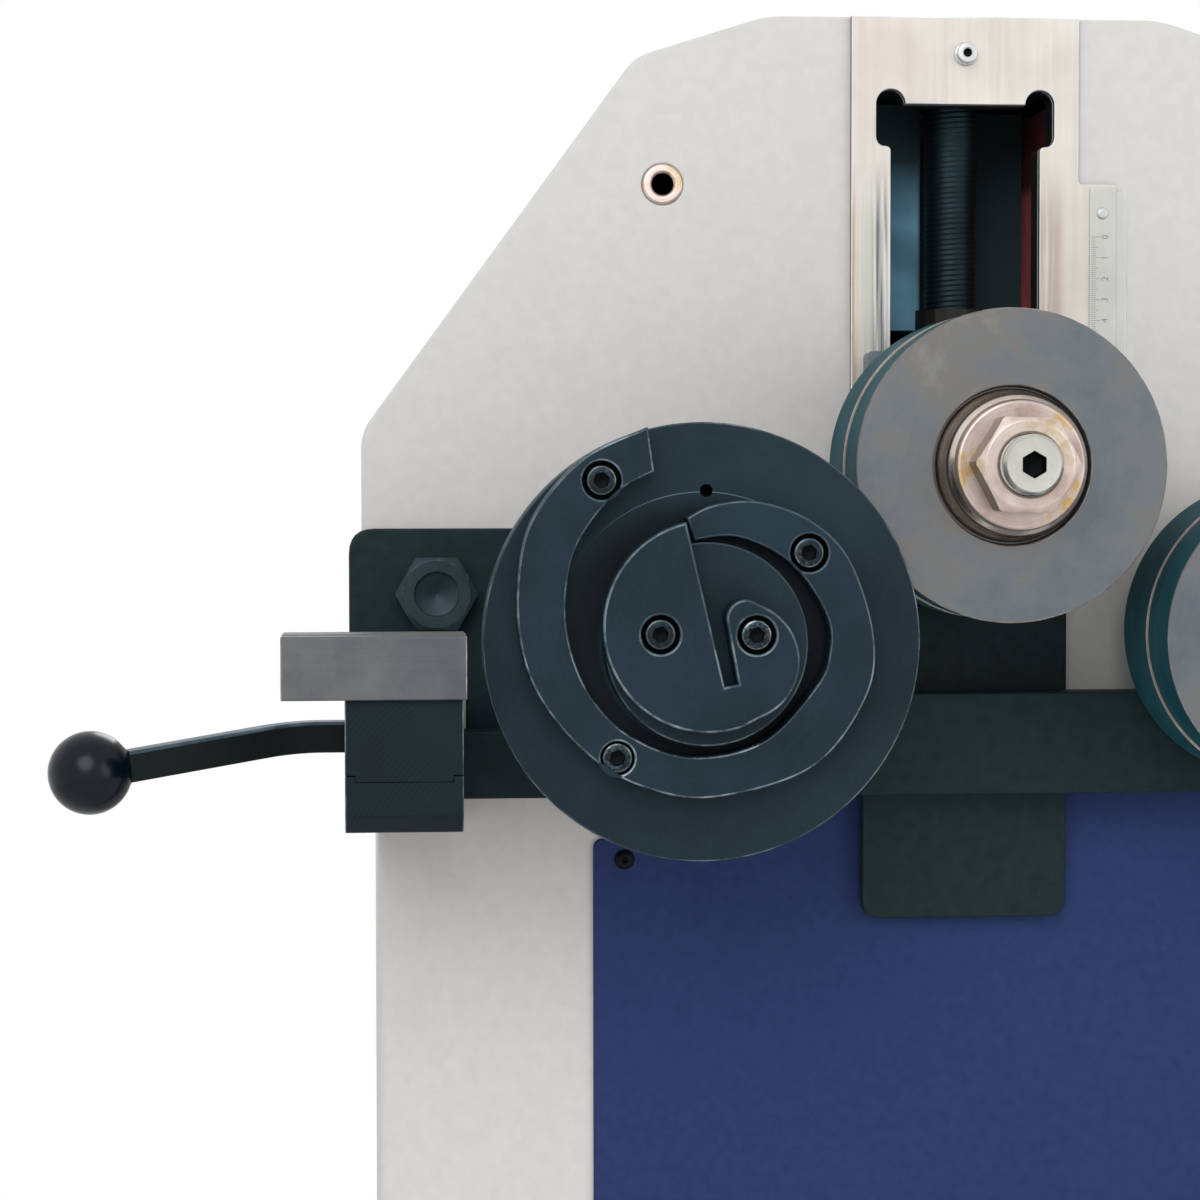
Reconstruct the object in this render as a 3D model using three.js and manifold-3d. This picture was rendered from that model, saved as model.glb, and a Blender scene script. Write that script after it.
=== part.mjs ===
// Floor-standing ring roller with a scroll bending tool on its lower left shaft.
// Millimetres, +Z up. The operator stands on the -Y side and +X is to the operator's right.
// The origin is on the floor, under the middle of the cabinet.
import * as THREE from 'three';
import { mergeVertices } from 'three/addons/utils/BufferGeometryUtils.js';
import Module from 'manifold-3d';

const wasm = await Module();
wasm.setup();

// Fits
const RUNNING_GAP = 0.3;
const SEAT_GAP = 0.05;
const CUT_MARGIN = 1;
const EDGE_CHAMFER = 1;
const SMALL_CORNER = 2;
const MACHINED_CORNER = 3;
const FILLET = 4;
const HEX_CHAMFER_SHARE = 0.8;

// Cabinet
const SHEET = 3;
const BODY_DEPTH = 560;
const BASE_THICKNESS = 10;
const BASE_LIP = 39;
const BASE_BOLT_RADIUS = 7;
const BASE_BOLT_INSET = 18;
const CABINET_INSET = 7;
const CABINET_SETBACK = 6;
const CABINET_TOP = 930;
const CABINET_EDGE = 5;
const OPENING_INSET = 56;
const DECK_THICKNESS = 10;
const PANEL_INSET = 103;
const PANEL_THICKNESS = 2;
const PANEL_SHOULDER_DROP = 32;
const PANEL_SHOULDER_WIDTH = 26;
const PANEL_SHOULDER_RUN = 20;
const PANEL_SCREW_INSET = [15, 10];
const PANEL_SCREW_RADIUS = 4.8;
const PANEL_SCREW_CROWN_RADIUS = 2.6;
const PANEL_SCREW_RIM = 0.8;
const PANEL_SCREW_SHANK = 2.4;
const PANEL_SCREW_REACH = 8;
const CONTROL_BOX = { width: 220, height: 300, depth: 120, bottom: 420 };

// Head casing
const HEAD_RISE = 214.3;
const HEAD_INSET = 6;
const HEAD_TOP_HALF = 95;
const SHOULDER_HALF = 158;
const SHOULDER_DROP = 20;
const SLOPE_FOOT_DROP = 197.6;
const HEAD_EDGE = 6;
const FRONT_PLATE = 15;
const REAR_PLATE = 15;
const PLATE_SPACING = 175;
const REAR_PLATE_INSET = 53;
const REAR_PLATE_RISE = 146;
const BUSH_X = 145;
const BUSH_DROP = 80;
const BUSH_RADIUS = 9.7;
const BUSH_BORE = 5.2;
const BUSH_PROUD = 1.2;

// Slot and its zinc-plated slide plate
const SLOT_HALF = 36;
const SLOT_TOP_DROP = 41.4;
const SLOT_BOTTOM_RISE = 11;
const EAR_RADIUS = 7;
const EAR_HEIGHT = 20;
const SLIDE_PLATE_HALF = 55;
const SLIDE_PLATE_THICKNESS = 3;
const TOP_BOLT_DROP = 17.5;
const TOP_BOLT_FLATS = 9;
const TOP_BOLT_HEAD = 6;
const TOP_BOLT_FLANGE = 1.2;
const TOP_BOLT_COLLAR = 5.8;
const TOP_BOLT_SHANK = 3;
const TOP_BOLT_REACH = 7;
const RULER_WING = { width: 18.5, drop: 78.7, length: 138, corner: 2 };
const WING_STRIP = { width: 5.5, drop: 3.2, thickness: 1.5, corner: 4 };
const RULER = { gap: 5.4, width: 12.5, thickness: 0.8, drop: 1.5, length: 132, corner: 2 };

// Rollers and shafts
const SHAFT_SPREAD = 140.5;
const SHAFT_RISE = 59;
const ROLLER_RISE = 76.7;
const SHAFT_RADIUS = 20;
const SHAFT_THREAD_RADIUS = 13.2;
const SHAFT_COLLAR = { radius: 27, back: 18, front: 31.8 };
const ROLLER_RADIUS = 70;
const ROLLER_FRONT = 107;
const ROLLER_OUTER_WIDTH = 21;
const ROLLER_RING_WIDTH = 15;
const ROLLER_RING_STEP = 1;
const ROLLER_CHAMFER = 1;
const RECESS_RADIUS = 35;
const RECESS_DEPTH = 5;
const CLAMP_COLLAR_RADIUS = 31;
const CLAMP_COLLAR_LENGTH = 16;
const CLAMP_WASHER_RADIUS = 28.4;
const CLAMP_WASHER_FRONT = 125;
const CLAMP_WASHER_CHAMFER = 1.5;
const NUT_FLATS = 41;
const NUT_HEIGHT = 17;
const SHAFT_END = 149.5;
const SHAFT_SOCKET_FLATS = 10;
const SHAFT_SOCKET_DEPTH = 8;
const SHOULDER_SETBACK = 1;

// Bearings of the lower shafts
const BEARING_RADIUS = 36;
const BEARING_FLANGE_RADIUS = 44;
const BEARING_FLANGE = 5.5;
const BEARING_TAIL = 10;

// Gear train behind the rear plate
const GEAR_MODULE = 6;
const GEAR_TEETH = 33;
const PINION_TEETH = 17;
const GEAR_WIDTH = 30;
const GEAR_CLEARANCE = 8;
const TOOTH_THINNING = 0.9;
const TOOTH_DEPTH_SHARE = 1.2;
const TOOTH_TIP_SHARE = 0.56;
const TOOTH_ROOT_SHARE = 1.32;
const GEAR_WEB = 12;
const GEAR_RIM = 14;
const GEAR_HUB_RADIUS = 34;
const PINION_SHAFT_RADIUS = 16;
const PINION_SHAFT_REACH = 50;
const GEARBOX = { half: 78, flange: 60, depth: 118, foot: 26, wall: 10 };
const MOTOR = { radius: 66, backGap: 23, endRise: 2, flange: 12, fanCover: 40 };
const MOTOR_FINS = { count: 12, depth: 6, slope: 0.1 };
const TERMINAL_BOX = { width: 80, height: 30, inset: 36 };

// Carriage of the upper roller
const CARRIAGE_UP = 15;
const CARRIAGE_FLANGE_HALF = 49;
const CARRIAGE_FLANGE_TOP = 55;
const CARRIAGE_FLANGE_BOTTOM = 36;
const CARRIAGE_FLANGE = 12;
const CARRIAGE_BODY_HALF = 47.7;
const CARRIAGE_BODY_TOP = 50;
const RAIL_WIDTH = 20;
const RAIL_DROP = 14;
const SPINDLE_RADIUS = 12.6;
const SPINDLE_BEHIND_FRONT = 33;
const SPINDLE_JOURNAL = 9;
const SPINDLE_COLLAR_RADIUS = 17;
const SPINDLE_COLLAR = 6;
const SPINDLE_HEX_FLATS = 14;
const SPINDLE_HEX_RECESS = 1.5;
const SPINDLE_END_GAP = 3;
const SPINDLE_CHAMFER = 2;
const NUT_BUSH_RADIUS = 17;
const NUT_BUSH_TOP = 77;
const NUT_BUSH_DEPTH = 16;
const TOP_BLOCK_HEIGHT = 26;
const TOP_BLOCK_DEPTH = 62;
const TOP_HOLE_RADIUS = 13;

// Carrier across the front
const CARRIER_PLATE = 6;
const CARRIER_OVERHANG = 2;
const CARRIER_RISE = 48;
const CARRIER_CORNER = 12;
const CARRIER_BLOCK_WIDTH = 88;
const NOTCH_WIDTH = 55;
const NOTCH_DROP = 21;
const LINK_DROP = 47;
const UPRIGHT_HALF = 49.5;
const TAB_DROP = 139.5;
const TAB_CORNER = 7;
const BAR_THICKNESS = 20;
const BAR_DROP = 78;
const BAR_HEIGHT = 48;
const TONGUE_HEIGHT = 31.5;
const TONGUE_LENGTH = 86;
const TONGUE_RUNOUT = 16;
const CARRIER_BOLT = { inset: 41, rise: 17.5, flats: 34, head: 14, shank: 10.8, reach: 14 };
const BOLT_DISH = { radius: 10.2, depth: 5, wall: 1.7 };

// Scroll tool, depths measured from the head's front face
const SCROLL_DISC = { radius: 95.4, back: 110, front: 127, chamfer: 1 };
const SCROLL_HUB_RADIUS = 36;
const SCROLL_BOSS_RADIUS = 43.8;
const SCROLL_BAND_THICKNESS = 16;
const SCROLL_HOOK_THICKNESS = 14;
const SCROLL_SHAFT_END = 130;
const PIN_HOLE = { at: [1.5, 65.8], radius: 2.8, depth: 10 };
const BAND_SCREWS = [[44.2, 39], [-38.4, -48.6], [-45.1, 70.2]];
const HOOK_SCREWS = [[-21.3, 4.9], [19.7, 4.5]];
const SOCKET_SCREW = { head: 6.5, height: 8, edge: 0.8, shank: 4, length: 16, flats: 6, socket: 4 };
const COUNTERBORE_RADIUS = 8.5;
const SCREW_RECESS = 0.8;
// Band edges as [angle in degrees, radius]: one turn of a widening spiral
const BAND_OUTER_STEPS = 36;
const BAND_INNER_STEPS = 26;
const BAND_OUTER_EDGE = [
  [105.2, 96.2], [124, 95.6], [145, 92], [165, 84.2], [185, 78.6], [203, 73.6], [225, 69.2], [246, 67],
  [272, 66], [310, 70], [340, 72.7], [362, 72.5], [390, 71.6], [410, 69.4], [430, 65], [447, 59.8],
  [459, 54.9],
];
const BAND_INNER_EDGE = [
  [457, 44.9], [433, 47.8], [403, 50], [373, 53], [355, 53], [338, 50.4], [300, 48.4], [262, 48.8],
  [230, 51], [205, 54.1], [184, 57.8], [165, 62.6], [147, 68.5], [133, 72.2], [118.5, 75.8], [107, 77.2],
];
// Hook plate: a big arc on the left, a smaller one on the right and a round nose at the slot
const HOOK_TIP = [-10.3, 52.5];
const HOOK_BIG_ARC = { x: -0.5, z: 8.2, radius: 45.2, from: 104, to: 288 };
const HOOK_SMALL_ARC = { x: 12.7, z: -6.7, radius: 25.5, from: 291, to: 400 };
const HOOK_NOSE = { x: 15.1, z: 11.2, radius: 8.5, from: 30, to: 180 };
const HOOK_SLOT_RIGHT = [11.7, -16.3];
const HOOK_SLOT_LEFT = [6.1, -17.4];
const HOOK_SLOT_NECK = [0.2, 7.8];

// Rod guide on the bar's left end
const GUIDE_GAP = 7.7;
const GUIDE_GRIP = 22;
const GUIDE_HALF = 25;
const GUIDE_FRONT = 155;
const GUIDE_RISE = 56;
const GUIDE_SPLIT_RISE = 23.9;
const GUIDE_KEY = { half: 20.6, drop: 2.5 };
const GUIDE_DROP = 1;
const GUIDE_CHAMFER = 7.7;
const JAW_HOOK_DROP = 13;
const JAW_HOOK_REACH = 22;
const GUIDE_FINGER_RISE = 10;
const GUIDE_BLOCK = { reachLeft: 51.6, reachRight: 26.4, height: 27, back: 120, front: 160 };
const ROD_GROOVE = { back: 142.5, width: 8, web: 8 };
const LEVER_PIVOT_OFFSET = 2;
const LEVER_PIVOT_RISE = 34.5;
const LEVER_EYE_RADIUS = 10;
const LEVER_HEIGHT = 14.2;
const LEVER_THICKNESS = 12;
const LEVER_DEPTH = 57;
const LEVER_DIP = 2.7;
const LEVER_REACH = 47;
const LEVER_SLOT_GAP = 0.6;
const LEVER_BEND_RUN = 12;
const CLAMP_SHAFT = { radius: 7, back: 30, front: 120 };
const KNOB_REACH = 135.6;
const KNOB_DEPTH = 85;
const KNOB_DIP = 14.9;
const KNOB_RADIUS = 18.5;
const KNOB_COLLAR = { radius: 7.5, length: 6, gap: 1.2 };
const KNOB_STEPS = 8;

// Round counts
const ROUND_SMALL = 10;
const ROUND_TRIM = 16;
const ROUND_MEDIUM = 20;
const ROUND_LARGE = 32;

// Worked out from the sizes above: widths from the shafts outwards
const GUIDE_X = -(SHAFT_SPREAD + SCROLL_DISC.radius + GUIDE_GAP + GUIDE_BLOCK.reachRight);
const BAR_END = GUIDE_GRIP - GUIDE_X;
const CARRIER_HALF = BAR_END + CARRIER_OVERHANG;
const CARRIER_BOLT_X = CARRIER_HALF - CARRIER_BOLT.inset;
const HEAD_HALF = CARRIER_HALF - HEAD_INSET;
const REAR_PLATE_HALF = HEAD_HALF - REAR_PLATE_INSET;
const CABINET_HALF = HEAD_HALF - CABINET_INSET;
const PANEL_HALF = CABINET_HALF - PANEL_INSET;
const CABINET_OPENING_HALF = PANEL_HALF - OPENING_INSET;
// Depths from the front face backwards
const FRONT_Y = -BODY_DEPTH / 2;
const BACK_Y = BODY_DEPTH / 2;
const CABINET_FRONT_Y = FRONT_Y + CABINET_SETBACK;
const REAR_PLATE_Y = FRONT_Y + FRONT_PLATE + PLATE_SPACING;
const GEAR_Y = REAR_PLATE_Y + REAR_PLATE + GEAR_CLEARANCE;
const GEARBOX_Y = GEAR_Y + GEAR_WIDTH + GEAR_CLEARANCE;
const SPINDLE_Y = FRONT_Y + SPINDLE_BEHIND_FRONT;
const SCROLL_BOSS_FRONT = SCROLL_DISC.front + SCROLL_BAND_THICKNESS;
const SCROLL_HOOK_FRONT = SCROLL_BOSS_FRONT + SCROLL_HOOK_THICKNESS;
// Heights from the deck upwards
const DECK_TOP = CABINET_TOP + DECK_THICKNESS;
const PANEL_SHOULDER_Z = CABINET_TOP - PANEL_SHOULDER_DROP;
const SHAFT_HEIGHT = DECK_TOP + SHAFT_RISE;
const ROLLER_HEIGHT = SHAFT_HEIGHT + ROLLER_RISE;
const HEAD_TOP = ROLLER_HEIGHT + HEAD_RISE;
const REAR_PLATE_TOP = SHAFT_HEIGHT + REAR_PLATE_RISE;
const SLOT_TOP = HEAD_TOP - SLOT_TOP_DROP;
const SLOT_BOTTOM = SHAFT_HEIGHT + SLOT_BOTTOM_RISE;
const RAIL_BOTTOM = SHAFT_HEIGHT - RAIL_DROP;
const CARRIER_TOP = SHAFT_HEIGHT + CARRIER_RISE;
const CARRIER_BOLT_Z = SHAFT_HEIGHT + CARRIER_BOLT.rise;
const NOTCH_TOP = SHAFT_HEIGHT - NOTCH_DROP;
const LINK_TOP = SHAFT_HEIGHT - LINK_DROP;
const TAB_BOTTOM = SHAFT_HEIGHT - TAB_DROP;
const BAR_BOTTOM = SHAFT_HEIGHT - BAR_DROP;
const BAR_TOP = BAR_BOTTOM + BAR_HEIGHT;
const TONGUE_TOP = BAR_BOTTOM + TONGUE_HEIGHT;
const GUIDE_TOP = BAR_BOTTOM + GUIDE_RISE;
const GUIDE_SPLIT = BAR_BOTTOM + GUIDE_SPLIT_RISE;
const GUIDE_BOTTOM = BAR_BOTTOM - GUIDE_DROP;
const JAW_HOOK_BOTTOM = BAR_BOTTOM - JAW_HOOK_DROP;
const LEVER_PIVOT_X = GUIDE_X - LEVER_PIVOT_OFFSET;
const LEVER_PIVOT_Z = BAR_BOTTOM + LEVER_PIVOT_RISE;
const LEVER_LEVEL = LEVER_PIVOT_Z - LEVER_DIP;
const GEAR_RADIUS = GEAR_MODULE * GEAR_TEETH / 2;
const PINION_RADIUS = GEAR_MODULE * PINION_TEETH / 2;
const PINION_RISE = Math.sqrt((GEAR_RADIUS + PINION_RADIUS) ** 2 - SHAFT_SPREAD ** 2);
const PINION_HEIGHT = SHAFT_HEIGHT + PINION_RISE;
const BORE_RADIUS = SHAFT_RADIUS + RUNNING_GAP;
const SPINDLE_END = ROLLER_HEIGHT + CARRIAGE_UP + SHAFT_RADIUS + SPINDLE_END_GAP;
const TOP_BLOCK_TOP = HEAD_TOP - 2 * SHEET;
const TOP_BLOCK_BOTTOM = TOP_BLOCK_TOP - TOP_BLOCK_HEIGHT;
const PIN_FLOOR = SCROLL_DISC.front - PIN_HOLE.depth;

const degrees = THREE.MathUtils.degToRad;

// Materials
function finish(color, roughness, metalness) {
  return () => new THREE.MeshStandardMaterial({ color, roughness, metalness });
}
const greyPaint = finish(0xcbc9c5, 0.6, 0);
const bluePaint = finish(0x28375f, 0.55, 0);
const darkPaint = finish(0x26383a, 0.5, 0.1);
const zincPlate = finish(0xdcd4cb, 0.35, 0.9);
const passivated = finish(0xd3b9a8, 0.35, 0.9);
const turnedSteel = finish(0x737371, 0.4, 0.85);
const blackenedSteel = finish(0x2a3238, 0.45, 0.7);
const milledSteel = finish(0x77757a, 0.45, 0.8);
const groundSteel = finish(0xa8a8a6, 0.3, 1);
const redPrimer = finish(0x7c2028, 0.6, 0);
const bronze = finish(0xa87d4a, 0.4, 0.9);
const blackPlastic = finish(0x0b0b0d, 0.15, 0);
const motorPaint = finish(0x4c565c, 0.55, 0.2);
const lightGreyPaint = finish(0xb9bcbe, 0.55, 0);
const ruleSteel = finish(0xc9c5bd, 0.35, 0.9);

// Solids: a closed three.js geometry becomes a solid that can be joined and cut
function solid(geometry) {
  const bare = geometry.clone();
  bare.deleteAttribute('normal');
  bare.deleteAttribute('uv');
  const merged = mergeVertices(bare, 1e-4);
  const position = merged.attributes.position;
  const triangles = [];
  for (let i = 0; i < merged.index.count; i += 3) {
    const [a, b, c] = [0, 1, 2].map((k) => merged.index.getX(i + k));
    if (a !== b && b !== c && c !== a) triangles.push(a, b, c);
  }
  const build = (triVerts) => new wasm.Manifold(new wasm.Mesh({
    numProp: 3,
    vertProperties: new Float32Array(position.array),
    triVerts: Uint32Array.from(triVerts),
  }));
  const made = build(triangles);
  return made.volume() < 0 ? build(triangles.reverse()) : made;
}

function toGeometry(body) {
  const mesh = body.getMesh();
  const geometry = new THREE.BufferGeometry();
  geometry.setAttribute('position', new THREE.BufferAttribute(new Float32Array(mesh.vertProperties), 3));
  geometry.setIndex(new THREE.BufferAttribute(Uint32Array.from(mesh.triVerts), 1));
  geometry.computeVertexNormals();
  return geometry;
}

const join = (...solids) => solids.reduce((whole, next) => whole.add(next));
const cut = (body, ...tools) => tools.reduce((rest, tool) => rest.subtract(tool), body);

// A box between two corners
function block(low, high) {
  const size = high.map((value, i) => value - low[i]);
  const geometry = new THREE.BoxGeometry(...size);
  geometry.translate(...low.map((value, i) => value + size[i] / 2));
  return solid(geometry);
}

// A shape drawn in X and Z, made solid between two Y values
function plateY(shape, low, high, curveSegments = 8) {
  const geometry = new THREE.ExtrudeGeometry(shape, { depth: high - low, bevelEnabled: false, curveSegments });
  geometry.rotateX(Math.PI / 2);
  geometry.translate(0, high, 0);
  return solid(geometry);
}

// A shape drawn in X and Y, made solid between two Z values
function plateZ(shape, low, high, curveSegments = 4) {
  const geometry = new THREE.ExtrudeGeometry(shape, { depth: high - low, bevelEnabled: false, curveSegments });
  geometry.translate(0, 0, low);
  return solid(geometry);
}

// Corners as [across, up, rounding]
function outline(corners) {
  const shape = new THREE.Shape();
  corners.forEach(([x, z, rounding = 0], i) => {
    const corner = new THREE.Vector2(x, z);
    const before = new THREE.Vector2(...corners[(i + corners.length - 1) % corners.length]);
    const after = new THREE.Vector2(...corners[(i + 1) % corners.length]);
    const enter = corner.clone().add(before.sub(corner).setLength(rounding));
    const leave = corner.clone().add(after.sub(corner).setLength(rounding));
    if (i === 0) shape.moveTo(enter.x, enter.y);
    else shape.lineTo(enter.x, enter.y);
    if (rounding > 0) shape.quadraticCurveTo(x, z, leave.x, leave.y);
  });
  shape.closePath();
  return shape;
}

function rectangle(halfWidth, low, high, rounding = 0) {
  const corners = [[-halfWidth, low], [halfWidth, low], [halfWidth, high], [-halfWidth, high]];
  return outline(corners.map((corner) => [...corner, rounding]));
}

// The same corners on the left, drawn again in reverse on the right
function mirrored(corners) {
  const other = corners.map(([x, ...rest]) => [-x, ...rest]).reverse();
  return outline([...corners, ...other]);
}

// A turned piece along Y from [radius, y] points
function turned(profile, segments = ROUND_MEDIUM) {
  return solid(new THREE.LatheGeometry(profile.map(([r, y]) => new THREE.Vector2(r, y)), segments));
}

function rod(radius, low, high, segments = ROUND_MEDIUM) {
  return turned([[0, low], [radius, low], [radius, high], [0, high]], segments);
}

function rodAt(x, z, radius, low, high, segments = ROUND_MEDIUM) {
  return rod(radius, low, high, segments).translate([x, 0, z]);
}

function hexagon(flats, turn = 0) {
  const reach = flats / Math.sqrt(3);
  const shape = new THREE.Shape();
  for (let i = 0; i < 6; i += 1) {
    const angle = turn + i * Math.PI / 3;
    shape[i === 0 ? 'moveTo' : 'lineTo'](reach * Math.cos(angle), reach * Math.sin(angle));
  }
  shape.closePath();
  return shape;
}

// A hexagon along Y whose front corners, on the low Y side, are turned off
function hexHead(flats, low, high, turn = 0) {
  const reach = flats / Math.sqrt(3);
  const drop = (reach - flats / 2) * HEX_CHAMFER_SHARE;
  const face = (flats - drop) / 2;
  const envelope = turned([[0, low], [face, low], [reach, low + drop], [reach, high], [0, high]]);
  return plateY(hexagon(flats, turn), low, high).intersect(envelope);
}

const machine = new THREE.Group();

function add(group, name, body, material) {
  const mesh = new THREE.Mesh(toGeometry(body), material());
  mesh.name = name;
  group.add(mesh);
  return mesh;
}

function groupAt(x, y, z) {
  const group = new THREE.Group();
  group.position.set(x, y, z);
  machine.add(group);
  return group;
}

// Cabinet
function makeBasePlate() {
  const halfX = CABINET_HALF + BASE_LIP;
  const halfY = BODY_DEPTH / 2;
  const plate = plateZ(rectangle(halfX, -halfY, halfY, CABINET_EDGE), 0, BASE_THICKNESS);
  const holes = [-1, 1].flatMap((sx) => [-1, 1].map((sy) => {
    const hole = rod(BASE_BOLT_RADIUS, -CUT_MARGIN, BASE_THICKNESS + CUT_MARGIN, ROUND_SMALL);
    const place = [sx * (halfX - BASE_BOLT_INSET), sy * (halfY - 2 * BASE_BOLT_INSET), 0];
    return hole.rotate([90, 0, 0]).translate(place);
  }));
  return cut(plate, ...holes);
}

function panelScrewPlaces() {
  const [insetX, insetZ] = PANEL_SCREW_INSET;
  const x = PANEL_HALF - insetX;
  const z = PANEL_SHOULDER_Z - insetZ;
  return { left: [-x, z], right: [x, z] };
}

function panelScrewHoles(low, high) {
  const radius = PANEL_SCREW_SHANK + RUNNING_GAP;
  return Object.values(panelScrewPlaces()).map(([x, z]) => rodAt(x, z, radius, low, high, ROUND_SMALL));
}

function makeCabinetShell() {
  const front = CABINET_FRONT_Y;
  const back = -front;
  const outer = plateZ(rectangle(CABINET_HALF, front, back, CABINET_EDGE), BASE_THICKNESS, CABINET_TOP);
  const hollow = block(
    [-CABINET_HALF + SHEET, front + SHEET, BASE_THICKNESS - CUT_MARGIN],
    [CABINET_HALF - SHEET, back - SHEET, CABINET_TOP + CUT_MARGIN],
  );
  const door = block(
    [-CABINET_OPENING_HALF, front - CUT_MARGIN, BASE_THICKNESS - CUT_MARGIN],
    [CABINET_OPENING_HALF, front + SHEET + CUT_MARGIN, CABINET_TOP + CUT_MARGIN],
  );
  return cut(outer, hollow, door, ...panelScrewHoles(front - CUT_MARGIN, front + SHEET + CUT_MARGIN));
}

function makeFrontPanel() {
  const shoulder = PANEL_HALF - PANEL_SHOULDER_WIDTH;
  const top = CABINET_TOP - SEAT_GAP;
  const shape = mirrored([
    [-shoulder + PANEL_SHOULDER_RUN, top, SMALL_CORNER],
    [-shoulder, PANEL_SHOULDER_Z, SMALL_CORNER],
    [-PANEL_HALF, PANEL_SHOULDER_Z, FILLET],
    [-PANEL_HALF, BASE_THICKNESS + SEAT_GAP],
  ]);
  const high = CABINET_FRONT_Y;
  const low = high - PANEL_THICKNESS;
  return cut(plateY(shape, low, high, 4), ...panelScrewHoles(low - CUT_MARGIN, high + CUT_MARGIN));
}

function makePanelScrew() {
  const seat = CABINET_FRONT_Y - PANEL_THICKNESS;
  const rise = PANEL_SCREW_SHANK;
  return turned([
    [0, seat - rise], [PANEL_SCREW_CROWN_RADIUS, seat - rise], [PANEL_SCREW_RADIUS, seat - PANEL_SCREW_RIM],
    [PANEL_SCREW_RADIUS, seat], [PANEL_SCREW_SHANK, seat], [PANEL_SCREW_SHANK, seat + PANEL_SCREW_REACH],
    [0, seat + PANEL_SCREW_REACH],
  ], ROUND_SMALL);
}

function makeDeck() {
  const low = FRONT_Y;
  const deck = block([-HEAD_HALF, low, CABINET_TOP], [HEAD_HALF, BACK_Y, DECK_TOP]);
  const reach = SHAFT_SPREAD + GEAR_RADIUS + 2 * GEAR_MODULE;
  const gearSlot = block(
    [-reach, GEAR_Y - GEAR_CLEARANCE / 2, CABINET_TOP - CUT_MARGIN],
    [reach, GEAR_Y + GEAR_WIDTH + GEAR_CLEARANCE / 2, DECK_TOP + CUT_MARGIN],
  );
  return cut(deck, gearSlot);
}

function makeControlBox() {
  const back = -CABINET_FRONT_Y - SHEET;
  const { width, height, depth, bottom } = CONTROL_BOX;
  return block([-width / 2, back - depth, bottom], [width / 2, back, bottom + height]);
}

add(machine, 'base_plate', makeBasePlate(), greyPaint);
add(machine, 'cabinet_shell', makeCabinetShell(), greyPaint);
add(machine, 'deck_plate', makeDeck(), greyPaint);
add(machine, 'front_panel', makeFrontPanel(), bluePaint);
for (const [place, [x, z]] of Object.entries(panelScrewPlaces())) {
  add(machine, `panel_screw_${place}`, makePanelScrew(), blackenedSteel).position.set(x, 0, z);
}
add(machine, 'control_box', makeControlBox(), lightGreyPaint);

// Head casing
function headOutline(inset = 0) {
  return mirrored([
    [-HEAD_HALF + inset, DECK_TOP],
    [-HEAD_HALF + inset, HEAD_TOP - SLOPE_FOOT_DROP - inset / 2, HEAD_EDGE],
    [-SHOULDER_HALF + inset / 2, HEAD_TOP - SHOULDER_DROP - inset, HEAD_EDGE],
    [-HEAD_TOP_HALF, HEAD_TOP - inset, HEAD_EDGE],
  ].reverse());
}

// The roller slot with its two ears, as a cutting tool
function slotTool(low, high) {
  const earCentre = SLOT_TOP;
  const ears = [-1, 1].flatMap((side) => {
    const edges = [side * (SLOT_HALF - EAR_RADIUS), side * (SLOT_HALF + EAR_RADIUS)].sort((a, b) => a - b);
    const well = outline([
      [edges[0], earCentre - EAR_HEIGHT, EAR_RADIUS / 2], [edges[1], earCentre - EAR_HEIGHT, EAR_RADIUS / 2],
      [edges[1], earCentre], [edges[0], earCentre],
    ]);
    const round = rodAt(side * SLOT_HALF, earCentre, EAR_RADIUS, low, high, ROUND_TRIM);
    return [plateY(well, low, high, 4), round];
  });
  return join(block([-SLOT_HALF, low, SLOT_BOTTOM], [SLOT_HALF, high, SLOT_TOP]), ...ears);
}

function bushPlaces() {
  return { left: [-BUSH_X, HEAD_TOP - BUSH_DROP], right: [BUSH_X, HEAD_TOP - BUSH_DROP] };
}

function carrierBoltHoles(low, high) {
  const radius = CARRIER_BOLT.shank + RUNNING_GAP;
  return [-1, 1].map((side) => rodAt(side * CARRIER_BOLT_X, CARRIER_BOLT_Z, radius, low, high, ROUND_TRIM));
}

function topBoltHole(low, high) {
  return rodAt(0, HEAD_TOP - TOP_BOLT_DROP, TOP_BOLT_SHANK + RUNNING_GAP, low, high, ROUND_SMALL);
}

function makeFrontPlate() {
  const low = FRONT_Y;
  const high = FRONT_Y + FRONT_PLATE;
  const [a, b] = [low - CUT_MARGIN, high + CUT_MARGIN];
  const bearingHole = BEARING_RADIUS + RUNNING_GAP;
  const bearings = [-1, 1].map((side) => rodAt(side * SHAFT_SPREAD, SHAFT_HEIGHT, bearingHole, a, b));
  const bushHole = BUSH_RADIUS + SEAT_GAP;
  const bushes = Object.values(bushPlaces()).map(([x, z]) => rodAt(x, z, bushHole, a, b, ROUND_TRIM));
  const holes = [...bearings, ...bushes, ...carrierBoltHoles(a, b), topBoltHole(a, b)];
  return cut(plateY(headOutline(), low, high, 5), slotTool(a, b), ...holes);
}

function makeRearPlate() {
  const low = REAR_PLATE_Y;
  const high = low + REAR_PLATE;
  const plate = plateY(rectangle(REAR_PLATE_HALF, DECK_TOP, REAR_PLATE_TOP, HEAD_EDGE), low, high, 4);
  const holes = [-1, 1].map((side) => rodAt(
    side * SHAFT_SPREAD, SHAFT_HEIGHT, BEARING_RADIUS + RUNNING_GAP, low - CUT_MARGIN, high + CUT_MARGIN,
  ));
  return cut(plate, ...holes);
}

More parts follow.
